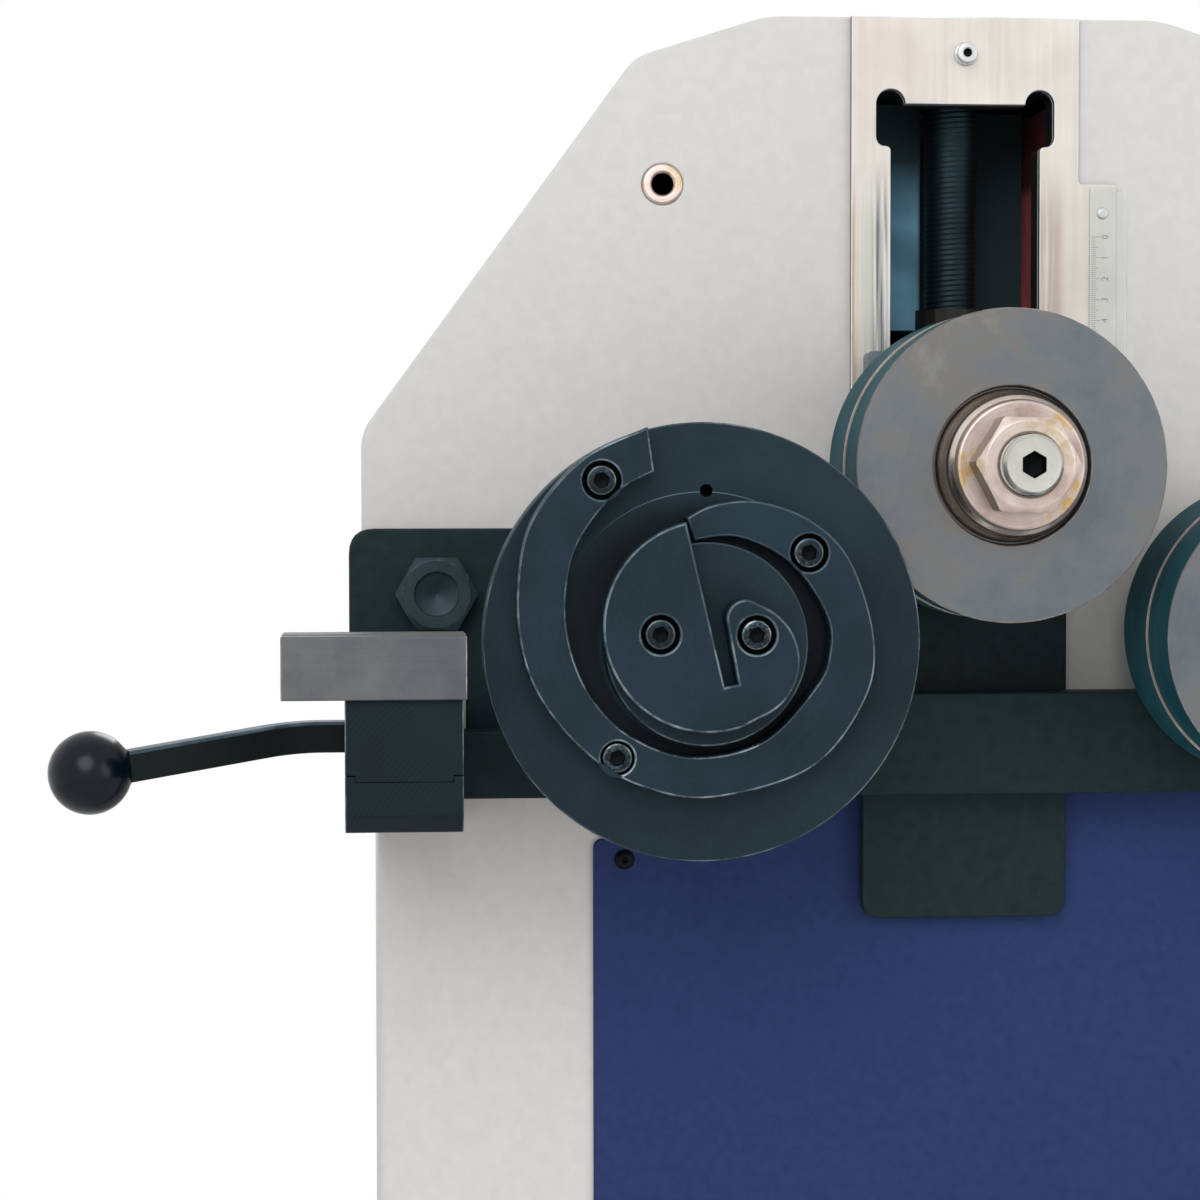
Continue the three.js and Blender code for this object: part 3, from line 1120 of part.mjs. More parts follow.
function makeGuidePost() {
  const [low, high] = [-GUIDE_HALF, GUIDE_HALF];
  const body = block([low, -GUIDE_FRONT, GUIDE_SPLIT], [high, -TONGUE_FRONT - RUNNING_GAP, GUIDE_TOP]);
  const key = block([-GUIDE_KEY.half, -GUIDE_FRONT, GUIDE_SPLIT - GUIDE_KEY.drop],
    [GUIDE_KEY.half, -TONGUE_FRONT - RUNNING_GAP, GUIDE_SPLIT + CUT_MARGIN]);
  const tongueRoof = TONGUE_TOP + RUNNING_GAP;
  const over = block([low, -TONGUE_FRONT - CUT_MARGIN, tongueRoof], [high, -RUNNING_GAP, GUIDE_TOP]);
  const fingerEnd = TONGUE_TOP - GUIDE_FINGER_RISE;
  const finger = block([low, -FINGER - RUNNING_GAP, fingerEnd], [high, -RUNNING_GAP, GUIDE_TOP]);
  const pocket = LEVER_EYE_RADIUS + LEVER_SLOT_GAP;
  const x = -LEVER_PIVOT_OFFSET;
  const slot = block([low - CUT_MARGIN, -LEVER_SLOT_FRONT, LEVER_LEVEL - LEVER_HEIGHT / 2 - LEVER_SLOT_GAP],
    [x + pocket, -LEVER_SLOT_BACK, GUIDE_TOP + CUT_MARGIN]);
  const bore = rodAt(x, LEVER_PIVOT_Z, CLAMP_SHAFT.radius + RUNNING_GAP, -CLAMP_SHAFT.front - RUNNING_GAP,
    -CLAMP_SHAFT.back + RUNNING_GAP);
  return cut(join(body, key, over, finger), slot, bore);
}

function makeGuideJaw() {
  const [low, high] = [-GUIDE_HALF, GUIDE_HALF];
  const split = GUIDE_SPLIT - RUNNING_GAP;
  const side = new THREE.Shape();
  const backReach = TONGUE_FRONT + JAW_HOOK_REACH;
  [
    [GUIDE_FRONT, split], [GUIDE_FRONT, GUIDE_BOTTOM + GUIDE_CHAMFER],
    [GUIDE_FRONT - GUIDE_CHAMFER, GUIDE_BOTTOM], [backReach, GUIDE_BOTTOM],
    [backReach - (GUIDE_BOTTOM - JAW_HOOK_BOTTOM), JAW_HOOK_BOTTOM],
    [RUNNING_GAP, JAW_HOOK_BOTTOM], [RUNNING_GAP, BAR_BOTTOM + GUIDE_FINGER_RISE],
    [RUNNING_GAP + FINGER, BAR_BOTTOM + GUIDE_FINGER_RISE], [RUNNING_GAP + FINGER, BAR_BOTTOM - RUNNING_GAP],
    [TONGUE_FRONT + RUNNING_GAP, BAR_BOTTOM - RUNNING_GAP], [TONGUE_FRONT + RUNNING_GAP, split],
  ].forEach(([depth, z], i) => side[i === 0 ? 'moveTo' : 'lineTo'](depth, z));
  side.closePath();
  const body = plateY(side, low, high).rotate([0, 0, -90]);
  const grooveHalf = GUIDE_KEY.half + RUNNING_GAP;
  const groove = block([-grooveHalf, -GUIDE_FRONT - CUT_MARGIN, GUIDE_SPLIT - GUIDE_KEY.drop - RUNNING_GAP],
    [grooveHalf, -CARRIER_PLATE, GUIDE_SPLIT + CUT_MARGIN]);
  return cut(body, groove);
}

function makeGuideBlock() {
  const { reachLeft, reachRight, height, back, front } = GUIDE_BLOCK;
  const groove = ROD_GROOVE;
  const low = GUIDE_TOP + SEAT_GAP;
  const body = block([-reachLeft, -front, low], [reachRight, -back, low + height]);
  const channel = block([-reachLeft - CUT_MARGIN, -groove.back - groove.width, low + groove.web],
    [reachRight + CUT_MARGIN, -groove.back, low + height + CUT_MARGIN]);
  return cut(body, channel);
}

const guideGroup = groupAt(GUIDE_X, FRONT_Y, 0);
add(guideGroup, 'guide_post', makeGuidePost(), blackenedSteel);
add(guideGroup, 'guide_jaw', makeGuideJaw(), blackenedSteel);
add(guideGroup, 'guide_block', makeGuideBlock(), milledSteel);

// A bar through rings of points, closed at both ends
function loft(rings) {
  const count = rings[0].length;
  const position = rings.flat().flatMap((point) => point.toArray());
  const index = [];
  for (let i = 0; i + 1 < rings.length; i += 1) {
    for (let k = 0; k < count; k += 1) {
      const [a, b] = [i * count + k, i * count + (k + 1) % count];
      index.push(a, b, b + count, a, b + count, a + count);
    }
  }
  const last = (rings.length - 1) * count;
  for (let k = 1; k + 1 < count; k += 1) index.push(0, k + 1, k, last, last + k, last + k + 1);
  const geometry = new THREE.BufferGeometry();
  geometry.setAttribute('position', new THREE.Float32BufferAttribute(position, 3));
  geometry.setIndex(index);
  return solid(geometry);
}

// Local to the lever's pivot: the bar is level in the guide, then runs down and forward to the knob
const KNOB_LOCAL = new THREE.Vector3(-KNOB_REACH, -KNOB_DEPTH, -KNOB_DIP);
const BEND_LOCAL = new THREE.Vector3(-LEVER_REACH, -LEVER_DEPTH, -LEVER_DIP);
const ARM = KNOB_LOCAL.clone().sub(BEND_LOCAL);
const ARM_STOP = KNOB_RADIUS + KNOB_COLLAR.length + KNOB_COLLAR.gap;
const ARM_END = KNOB_LOCAL.clone().sub(ARM.clone().setLength(ARM_STOP));

function makeLever() {
  const halfZ = LEVER_HEIGHT / 2;
  const halfY = LEVER_THICKNESS / 2;
  const ring = (centre, flat) => {
    const across = new THREE.Vector3(-flat.y, flat.x, 0).setLength(halfY);
    return [[-1, -1], [-1, 1], [1, 1], [1, -1]].map(([a, b]) => new THREE.Vector3(
      centre.x + a * across.x, centre.y + a * across.y, centre.z + b * halfZ,
    ));
  };
  const level = new THREE.Vector3(-1, 0, 0);
  const start = new THREE.Vector3(0, BEND_LOCAL.y, BEND_LOCAL.z);
  const before = BEND_LOCAL.clone().addScaledVector(level, -LEVER_BEND_RUN);
  const after = BEND_LOCAL.clone().add(ARM.clone().setLength(LEVER_BEND_RUN));
  const half = level.clone().add(ARM.clone().normalize());
  const bar = loft([
    ring(start, level), ring(before, level), ring(BEND_LOCAL, half), ring(after, ARM), ring(ARM_END, ARM),
  ]);
  const eye = rod(LEVER_EYE_RADIUS, -LEVER_DEPTH - halfY, -LEVER_DEPTH + halfY);
  const shaft = rod(CLAMP_SHAFT.radius, -CLAMP_SHAFT.front, -CLAMP_SHAFT.back);
  return join(bar, eye, shaft);
}

function makeKnob() {
  const { radius, length } = KNOB_COLLAR;
  const points = [[0, -KNOB_RADIUS - length], [radius, -KNOB_RADIUS - length]];
  const start = Math.asin(radius / KNOB_RADIUS);
  for (let i = 0; i <= KNOB_STEPS; i += 1) {
    const angle = start + (Math.PI - start) * i / KNOB_STEPS;
    points.push([KNOB_RADIUS * Math.sin(angle), -KNOB_RADIUS * Math.cos(angle)]);
  }
  points[points.length - 1][0] = 0;
  return turned(points, ROUND_TRIM);
}

const leverGroup = groupAt(LEVER_PIVOT_X, FRONT_Y, LEVER_PIVOT_Z);
const knobMesh = add(leverGroup, 'lever_knob', makeKnob(), blackPlastic);
knobMesh.position.copy(KNOB_LOCAL);
knobMesh.quaternion.setFromUnitVectors(new THREE.Vector3(0, 1, 0), ARM.clone().normalize());
add(leverGroup, 'clamp_lever', makeLever(), blackenedSteel);

export default machine;
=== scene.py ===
"""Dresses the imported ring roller: finer pieces over its solids, their finishes, the light and the camera.

Sizes are passed in millimetres. Meshes and shaders work in metres, and so do the spans inside a finish.
Angles are radians, or degrees where a comment says so. The head's front face looks towards -Y, and depths
are measured from it towards the operator.
"""
import functools
import math

import bmesh
import bpy
import numpy
from mathutils import Matrix, Vector, geometry


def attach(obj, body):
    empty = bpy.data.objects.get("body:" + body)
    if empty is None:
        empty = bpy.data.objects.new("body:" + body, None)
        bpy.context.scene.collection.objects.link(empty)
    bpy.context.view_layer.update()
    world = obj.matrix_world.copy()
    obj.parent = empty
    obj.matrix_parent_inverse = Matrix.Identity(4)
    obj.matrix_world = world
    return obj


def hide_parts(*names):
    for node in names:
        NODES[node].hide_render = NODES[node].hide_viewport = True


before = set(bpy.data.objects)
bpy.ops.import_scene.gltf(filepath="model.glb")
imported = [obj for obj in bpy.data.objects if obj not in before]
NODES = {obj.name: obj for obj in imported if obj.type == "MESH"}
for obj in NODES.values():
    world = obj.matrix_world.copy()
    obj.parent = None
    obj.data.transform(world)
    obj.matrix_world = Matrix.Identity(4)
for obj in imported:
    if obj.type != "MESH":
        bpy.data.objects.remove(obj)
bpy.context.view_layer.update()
MM = 0.001

# Places and sizes, as in the solids. SHAFT and BORE are radii
FACE_Y = -280
BACK_Y = 280
HEAD_TOP = 1290
HEAD_HALF = 288
DECK_TOP = 940
BASE_TOP = 10
CABINET_TOP = 930
CABINET_HALF = 281
CABINET_FACE = 274
SHAFT_SPREAD = 140.5
SHAFT_HEIGHT = 999
SLOT_TOP = 1248.6
SLOT_BOTTOM = 1010
FRONT_PLATE = 15
SLIDE_PLATE = 3
SHEET = 3
SHAFT = 20
BORE = 20.3
SIDES = (("left", -1), ("right", 1))
SCROLL_CENTRE = (-SHAFT_SPREAD, SHAFT_HEIGHT)
UPPER_CENTRE = (0, 1075.7)
RIGHT_CENTRE = (SHAFT_SPREAD, SHAFT_HEIGHT)
SPINDLE_PLACE = (0, -247)
BUSHES = {"left": (-145, 1210), "right": (145, 1210)}
CARRIER_BOLTS = {"left": (-253, 1016.5), "right": (253, 1016.5)}
PANEL_SCREWS = {"left": (-163, 888), "right": (163, 888)}
LOWER_PANEL_SCREWS = ((-163, 464), (163, 464), (-163, 40), (163, 40))
TOP_BOLT = (0, 1272.5)
GUIDE_X = -270
GUIDE_FRONT = 155
LEVER_PIVOT = (-272, 955.5)
LEVER_DEPTH = 57
KNOB = Vector((-407.6, -365, 940.6))


# Finishes

def srgb(code):
    """A colour read off a screen, from 0 to 255, as the linear colour that the shader takes."""
    linear = [c / 255 / 12.92 if c <= 10 else ((c / 255 + 0.055) / 1.055) ** 2.4 for c in code]
    return (*linear, 1)


def scaled(code, factor):
    return [c * factor for c in srgb(code)[:3]] + [1]


class Nodes:
    """A node tree in the making. An input takes another node's socket, a plain value, or a colour's code."""

    def __init__(self, tree):
        self.tree = tree

    def feed(self, socket, value):
        if isinstance(value, bpy.types.NodeSocket):
            self.tree.links.new(value, socket)
        else:
            is_code = socket.type == "RGBA" and len(value) == 3
            socket.default_value = srgb(value) if is_code else value

    def node(self, kind, inputs=(), **settings):
        made = self.tree.nodes.new(kind)
        for key, value in settings.items():
            setattr(made, key, value)
        for key, value in dict(inputs).items():
            self.feed(made.inputs[key], value)
        return made

    def maths(self, operation, a, b=0.0):
        return self.node("ShaderNodeMath", {0: a, 1: b}, operation=operation).outputs[0]

    def times(self, *factors):
        return functools.reduce(functools.partial(self.maths, "MULTIPLY"), factors)

    def plus(self, *terms):
        return functools.reduce(functools.partial(self.maths, "ADD"), terms)

    def span(self, factor, low, high, start=0.0, end=1.0):
        """Moves a factor from low..high to start..end, and stops at both."""
        inputs = {"Value": factor, "From Min": low, "From Max": high, "To Min": start, "To Max": end}
        return self.node("ShaderNodeMapRange", inputs).outputs[0]


class Finish(Nodes):
    """A material in the making."""

    SOCKETS = {
        "color": "Base Color", "metal": "Metallic", "rough": "Roughness", "gloss": "Specular IOR Level",
        "normal": "Normal",
    }

    def __init__(self, name, **values):
        self.material = bpy.data.materials.new(name)
        self.material.use_nodes = True
        super().__init__(self.material.node_tree)
        self.shader = self.tree.nodes["Principled BSDF"]
        self.place = self.node("ShaderNodeTexCoord").outputs["Object"]
        self.set(**values)

    def set(self, **values):
        for key, value in values.items():
            self.feed(self.shader.inputs[self.SOCKETS[key]], value)

    def axis(self, name):
        """The place along X, Y or Z, in metres."""
        return self.node("ShaderNodeSeparateXYZ", {0: self.place}).outputs[name]

    def stretched(self, *factors):
        """The place with each axis multiplied, so that a noise runs along the smallest."""
        inputs = {0: self.place, 1: factors}
        return self.node("ShaderNodeVectorMath", inputs, operation="MULTIPLY").outputs[0]

    def noise(self, scale, detail=2.0, vector=None, roughness=0.5):
        inputs = {"Vector": vector or self.place, "Scale": scale, "Detail": detail, "Roughness": roughness}
        return self.node("ShaderNodeTexNoise", inputs).outputs[0]

    def ramp(self, factor, stops):
        """Colours by factor. Stops are colour codes by position, the two ends first."""
        made = self.node("ShaderNodeValToRGB", {"Fac": factor})
        elements = made.color_ramp.elements
        for index, (position, code) in enumerate(stops.items()):
            element = elements[index] if index < 2 else elements.new(position)
            element.position = position
            element.color = srgb(code)
        return made.outputs["Color"]

    def mix(self, factor, a, b):
        return self.node("ShaderNodeMix", {0: factor, 6: a, 7: b}, data_type="RGBA").outputs[2]

    def polar(self, centre):
        """Distance from an axis along Y, in metres, and the angle about it."""
        across = self.maths("SUBTRACT", self.axis("X"), centre[0] * MM)
        up = self.maths("SUBTRACT", self.axis("Z"), centre[1] * MM)
        squares = self.plus(self.times(across, across), self.times(up, up))
        return self.maths("SQRT", squares), self.maths("ARCTAN2", up, across)

    def turning(self, centre, fineness=2600):
        """The marks of a lathe tool: rings about an axis along Y that fade in and out round the turn."""
        radius, angle = self.polar(centre)
        rings, along = self.times(radius, fineness), self.times(self.axis("Y"), fineness)
        marks = self.node("ShaderNodeCombineXYZ", {0: rings, 1: along, 2: self.times(angle, 0.8)})
        return self.noise(1, vector=marks.outputs[0])

    def bumped(self, height, strength, depth=0.05):
        """Raises the surface by height, with the depth in millimetres, and gives the finished material."""
        inputs = {"Height": height, "Strength": strength, "Distance": depth * MM}
        self.set(normal=self.node("ShaderNodeBump", inputs).outputs[0])
        return self.material


def powder_coat(name, color, grain=520, mottle=0.04, gloss=0.3, rough=0.55, relief=0.5):
    """Sprayed and baked paint: an orange peel of a millimetre or two, slightly uneven in tone."""
    made = Finish(name, gloss=gloss)
    tone = made.span(made.noise(grain / 3, 3), 0.3, 0.7)
    broad = made.span(made.noise(4), 0.35, 0.65, -0.1, 0.1)
    made.set(
        color=made.mix(made.plus(tone, broad), scaled(color, 1 - mottle), scaled(color, 1 + mottle)),
        rough=made.span(made.noise(grain / 2), 0.3, 0.7, rough - 0.06, rough + 0.06),
    )
    return made.bumped(made.noise(grain), relief, 0.12)


def scraped_steel(name, color, worn, share=0.5, grain=180, rough=0.4, metal=0.5, broad=9, gloss=0.3):
    """Dark steel whose finish has worn through to bright metal in places, for edges."""
    made = Finish(name, metal=metal, gloss=gloss)
    fine = made.span(made.noise(grain, 4, roughness=0.65), share - 0.08, share + 0.12)
    stretches = made.span(made.noise(broad), 0.42, 0.62, 0.12, 1)
    made.set(color=made.mix(made.times(fine, stretches), color, worn), rough=rough)
    return made.material


def scribed_line(made, shade, centre, size):
    """Adds a scribed circle that fades away from its top as painted shade, and painted shade on the disc
    inside it.
    """
    radius, angle = made.polar(centre)
    # Painted shade: the disc darkened in the pocket between the boss and the band, inside the circle
    darkened_zones = made.times(made.span(radius, 0.0445, 0.046), made.span(radius, 0.056, 0.066, 0.75, 0))
    off = made.maths("ABSOLUTE", made.maths("SUBTRACT", radius, size * MM))
    from_top = made.maths("ABSOLUTE", made.maths("SUBTRACT", angle, math.pi / 2))
    line = made.times(made.span(off, 0.0001, 0.0003, 1, 0), made.span(from_top, 0.3, 0.8, 0.6, 0.05))
    return made.mix(line, made.mix(darkened_zones, shade, (10, 15, 17)), (110, 130, 140))


def blackened_steel(name, color, centre, relief=0.12, scribed=0.0):
    """Oxide-blackened plate: faint tool rings, clouds, and a scribed circle with painted shade inside it, if
    its radius is given.
    """
    made = Finish(name, metal=0.35, gloss=0.14)
    clouds, grain, rings = made.noise(14, 5, roughness=0.6), made.noise(900), made.turning(centre)
    tone = made.plus(
        made.span(clouds, 0.32, 0.68, 0, 0.7), made.span(rings, 0.35, 0.65, 0, 0.12),
        made.span(grain, 0.3, 0.7, 0, 0.18),
    )
    shade = made.mix(tone, scaled(color, 0.62), scaled(color, 1.5))
    if scribed:
        shade = scribed_line(made, shade, centre, scribed)
    made.set(color=shade, rough=made.span(clouds, 0.3, 0.7, 0.52, 0.4))
    return made.bumped(made.plus(rings, grain), relief, 0.02)


def turned_steel(name, centre, stops, rough=0.36, relief=0.3, cloud=34, ringed=0.22, metal=1.0, gloss=0.3):
    """Bare turned steel: clouds of colour under the rings of the lathe tool."""
    made = Finish(name, metal=metal, gloss=gloss)
    rings = made.turning(centre)
    shade = made.ramp(made.span(made.noise(cloud, 6, roughness=0.68), 0.3, 0.7), stops)
    made.set(
        color=made.mix(made.span(rings, 0.35, 0.7, 0, ringed), shade, scaled(stops[0], 0.45)),
        rough=made.span(rings, 0.3, 0.7, rough - 0.05, rough + 0.08),
    )
    return made.bumped(made.plus(rings, made.noise(700)), relief, 0.02)


# Strips rubbed by the carriage: where each starts, is full, fades and ends in X, its colour, its strength
RUBBED_STRIPS = (
    ((-46, -43.5, -38.5, -37), (100, 108, 114), 1),
    ((-51.5, -49.5, -46, -43.5), (176, 181, 170), 0.7),
    ((-58, -56, -54.5, -50.5), (160, 128, 104), 0.8),
    ((35.5, 37, 45, 49), (168, 154, 142), 0.8),
)


def brushed_zinc(name, stops, streak=(420, 420, 9), rubbed=False, rough=0.34):
    """Zinc plate, with long streaks where the carriage has slid along it if it is rubbed."""
    made = Finish(name, metal=0.55, gloss=0.4)
    streaks = made.noise(1, 3, made.stretched(*streak))
    tone = made.plus(made.times(streaks, 0.15), made.times(made.noise(16, 4), 0.85))
    shade = made.ramp(made.span(tone, 0.34, 0.66), stops)
    if rubbed:
        across, below = made.axis("X"), made.span(made.axis("Z"), 1.19, 1.222, 1, 0)
        lines = made.span(streaks, 0.36, 0.5)
        for (start, full, fade, end), color, strength in RUBBED_STRIPS:
            rise = made.span(across, start * MM, full * MM)
            fall = made.span(across, fade * MM, end * MM, 1, 0)
            shade = made.mix(made.times(rise, fall, below, lines, strength), shade, color)
    made.set(color=shade, rough=made.span(streaks, 0.3, 0.7, rough, rough + 0.14))
    return made.bumped(streaks, 0.15, 0.03)


ZINC_TINTS = {0: (176, 150, 140), 1: (240, 226, 218), 0.35: (212, 192, 184), 0.55: (222, 206, 198)}


def passivated_zinc(name, centre, tone=1.0, metal=0.85, straw=(204, 182, 150)):
    """Yellow passivated zinc, which shifts between pink, straw and grey."""
    made = Finish(name, metal=metal)
    rings = made.turning(centre, 1900)
    stops = {place: [c * tone for c in code] for place, code in {**ZINC_TINTS, 0.72: straw}.items()}
    shade = made.ramp(made.span(made.noise(46, 4, roughness=0.6), 0.28, 0.72), stops)
    made.set(
        color=made.mix(made.span(rings, 0.4, 0.75, 0, 0.3), shade, (146, 122, 110)),
        rough=made.span(rings, 0.3, 0.7, 0.3, 0.42),
    )
    return made.bumped(rings, 0.25, 0.03)


def red_primer():
    """Red primer, with painted shade that darkens it near its top."""
    made = Finish("red_primer", gloss=0.1, rough=0.65)
    shade = made.mix(made.span(made.noise(60, 4), 0.35, 0.65), (184, 92, 98), (208, 114, 114))
    made.set(color=made.mix(made.span(made.axis("Z"), 1.212, 1.218, 0, 0.75), shade, (36, 20, 20)))
    return made.bumped(made.noise(300), 0.4, 0.12)


def milled_steel(name, color, centre, pitch=1.5, strength=0.35, contrast=0.16):
    """Milled steel: the arcs of a face cutter that passed about a far centre in X and Z."""
    made = Finish(name, metal=0.4, gloss=0.16, rough=0.44)
    wave = made.maths("SINE", made.times(made.polar(centre)[0], 2 * math.pi / (pitch * MM)))
    marks = made.times(wave, made.span(made.noise(70, 3), 0.35, 0.7, 0.1, 1.0))
    tone = made.plus(made.span(marks, -1, 1, 0, 0.5), made.span(made.noise(22, 4), 0.3, 0.7, 0, 0.5))
    made.set(color=made.mix(tone, scaled(color, 1 - contrast), scaled(color, 1 + contrast)))
    return made.bumped(marks, strength, 0.03)


def web_paint():
    """Blue-grey paint, with painted light in patches on its left and painted shade towards its right and its
    top.
    """
    made = Finish("web_paint", gloss=0.1, rough=0.6)
    left, low = made.span(made.axis("X"), -0.0125, -0.0105, 1, 0), made.span(made.axis("Z"), 1.2, 1.228, 1, 0)
    patches = made.span(made.noise(26, 3), 0.35, 0.65, 0.45, 1)
    made.set(color=made.mix(made.times(left, low, patches), (44, 62, 66), (126, 182, 210)))
    return made.material


def black_plastic():
    made = Finish("black_plastic", color=(3, 14, 24), gloss=0.22)
    made.set(rough=made.span(made.noise(90, 3), 0.3, 0.7, 0.2, 0.28))
    return made.bumped(made.noise(40), 0.06, 0.1)


GREY = powder_coat("grey_paint", (205, 203, 200), mottle=0.03)
BLUE = powder_coat("blue_paint", (41, 56, 99), grain=600, mottle=0.08, gloss=0.1, rough=0.6, relief=0.3)
DARK = powder_coat("dark_paint", (25, 40, 42), grain=460, mottle=0.18, gloss=0.12, rough=0.5, relief=0.35)
DARK_WORN = scraped_steel("dark_paint_edge", (32, 46, 48), (92, 104, 108), 0.58)
LIGHT = powder_coat("light_paint", (184, 186, 189))
MOTOR = powder_coat("motor_paint", (76, 86, 92), grain=380)
ZINC_STOPS = {0: (196, 188, 182), 1: (214, 212, 203), 0.5: (207, 202, 195)}
ZINC = brushed_zinc("zinc_plate", ZINC_STOPS, rubbed=True)
BRIGHT_ZINC = brushed_zinc("bright_zinc", {0: (176, 178, 180), 1: (238, 238, 236)}, (60, 60, 60))
RULE = brushed_zinc("rule_steel", {0: (184, 185, 179), 1: (204, 203, 197)}, (300, 300, 20))
BLACK_SCROLL = blackened_steel("black_steel", (28, 43, 52), SCROLL_CENTRE)
BLACK_DISC = blackened_steel("black_disc", (27, 41, 48), SCROLL_CENTRE, scribed=65.2)
# Edges: wear, made brighter as a painted highlight where light catches them; the lever takes it on its top
# faces too
WEAR_AND_HIGHLIGHT = scraped_steel("worn_edge_and_highlight", (50, 66, 76), (138, 152, 160), grain=70)
DISC_EDGE = scraped_steel("disc_edge", (44, 58, 66), (106, 118, 125), grain=70)
# Dark steel for the walls of the slot and the holes in the plates, darker than the paint round them
DARK_WALL = scraped_steel("dark_wall", (20, 27, 27), (58, 46, 42), 0.6, 90, 0.5, 0.0)
ROLLER_STOPS = {
    0: (94, 102, 109), 1: (124, 124, 122), 0.35: (103, 110, 115), 0.55: (110, 113, 115),
    0.75: (114, 112, 108),
}
# Teal for the rollers' sides: a painted reflection
SIDE_REFLECTION_STOPS = {0: (24, 72, 84), 1: (50, 96, 104)}
WORN_ROLLER = scraped_steel("roller_edge", (146, 130, 120), (206, 188, 174), 0.42, 120)
ROLLER_RIM = scraped_steel("roller_rim", (96, 92, 90), (150, 142, 136), grain=120)
GROUND = turned_steel("ground_steel", UPPER_CENTRE, {0: (160, 160, 158), 1: (196, 196, 192)}, 0.28)
GUIDE_STOPS = {0: (80, 85, 90), 1: (104, 104, 105)}
GUIDE_GREY = turned_steel("milled_steel", (-270, -3000), GUIDE_STOPS, 0.5, cloud=30, ringed=0.08, metal=0.5)
GUIDE_BLACK = milled_steel("guide_steel", (22, 33, 38), (-196, 884), 2.1, 0.5, 0.36)
BRONZE = turned_steel("bronze", (0, 1110), {0: (18, 22, 21), 1: (36, 35, 30)}, 0.5, metal=0.3)
SCREW = scraped_steel("screw_steel", (22, 31, 36), (84, 100, 110), 0.54, 500, 0.35, 0.6, 40)
SCREW_RIM = scraped_steel("screw_rim", (62, 74, 82), (142, 154, 160), 0.5, 420, 0.3, 0.7, 40)
# Painted shade: near-black for the insides of hex sockets, counterbores, bores, the disc's pin hole, the top
# bolt's dish and the louvre openings
HOLLOW_SHADE = scraped_steel("hollow_shade_steel", (8, 12, 14), (24, 32, 36), 0.6, 200, 0.6, 0.0, gloss=0.1)
PANEL_SCREW = scraped_steel("panel_screw_steel", (6, 9, 14), (24, 28, 36), 0.6, 200, 0.5, 0.0, gloss=0.12)
LEVER = blackened_steel("lever_steel", (18, 25, 26), LEVER_PIVOT, 0.2)
INK = powder_coat("ruler_ink", (128, 130, 128))

# Looks: a slot's name, then the finishes that a form's numbers stand for
PAINTED = ("grey_paint", GREY)
DARK_PAINTED = ("dark_paint", DARK)
BLACK_SCREW = ("black_steel", PANEL_SCREW, HOLLOW_SHADE)
BLACK_PLATE = ("black_steel", BLACK_SCROLL, WEAR_AND_HIGHLIGHT, HOLLOW_SHADE)
GUIDE_STEEL = ("black_steel", GUIDE_BLACK, WEAR_AND_HIGHLIGHT)


# Outlines: closed loops of (across, up)

def curved(enter, corner, leave, steps):
    """Points on the curve that rounds a corner, both ends included."""
    shares = [k / steps for k in range(steps + 1)]
    return [enter * (1 - t) ** 2 + corner * 2 * t * (1 - t) + leave * t ** 2 for t in shares]


def rounded(corners, steps=6):
    """Corners as (across, up, rounding), with the rounding cut off both sides and curved between."""
    loop = []
    for i, (across, up, *rest) in enumerate(corners):
        rounding = rest[0] if rest else 0
        corner = Vector((across, up))
        if rounding <= 0:
            loop.append(tuple(corner))
            continue
        enter = corner + (Vector(corners[i - 1][:2]) - corner).normalized() * rounding
        leave = corner + (Vector(corners[(i + 1) % len(corners)][:2]) - corner).normalized() * rounding
        loop += map(tuple, curved(enter, corner, leave, steps))
    return loop


def mirrored(corners):
    """The same corners on the left, and again in reverse on the right."""
    return corners + [(-x, *rest) for x, *rest in reversed(corners)]


def around(centre, radius, angles):
    return [(centre[0] + radius * math.cos(a), centre[1] + radius * math.sin(a)) for a in angles]


def full_turn(count):
    return [2 * math.pi * i / count for i in range(count)]


def circle(centre, radius, count=48):
    return around(centre, radius, full_turn(count))


def arc(centre, radius, start, end, count):
    """Points from one angle to another, in degrees, both included."""
    return around(centre, radius, [math.radians(start + (end - start) * i / count) for i in range(count + 1)])


def box_outline(left, right, low, high, rounding=0, steps=6):
    corners = [(left, low), (right, low), (right, high), (left, high)]
    return rounded([(*corner, rounding) for corner in corners], steps)


def distinct(loop):
    return [p for i, p in enumerate(loop) if math.dist(p, loop[i - 1]) > 1e-4]


def wound(loop, forwards):
    """The loop with the material on its left: forwards outside, backwards round a hole."""
    area = sum(a[0] * b[1] - b[0] * a[1] for a, b in zip(loop, loop[1:] + loop[:1]))
    return loop if (area > 0) == forwards else loop[::-1]


def inset(loop, distance):
    """The loop moved into the material on its left."""
    moved = []
    for i, here in enumerate(loop):
        point = Vector(here)
        before = (point - Vector(loop[i - 1])).normalized()
        after = (Vector(loop[(i + 1) % len(loop)]) - point).normalized()
        normals = before.orthogonal() + after.orthogonal()
        share = max(1 + before.dot(after), 0.4)
        moved.append(tuple(point + normals * distance / share))
    return moved


# Profiles: (radius, along) points to turn about an axis

def from_face(points):
    """A profile given as (radius, depth) points, with its depths turned into places along Y."""
    return [(radius, FACE_Y - depth, *rest) for radius, depth, *rest in points]


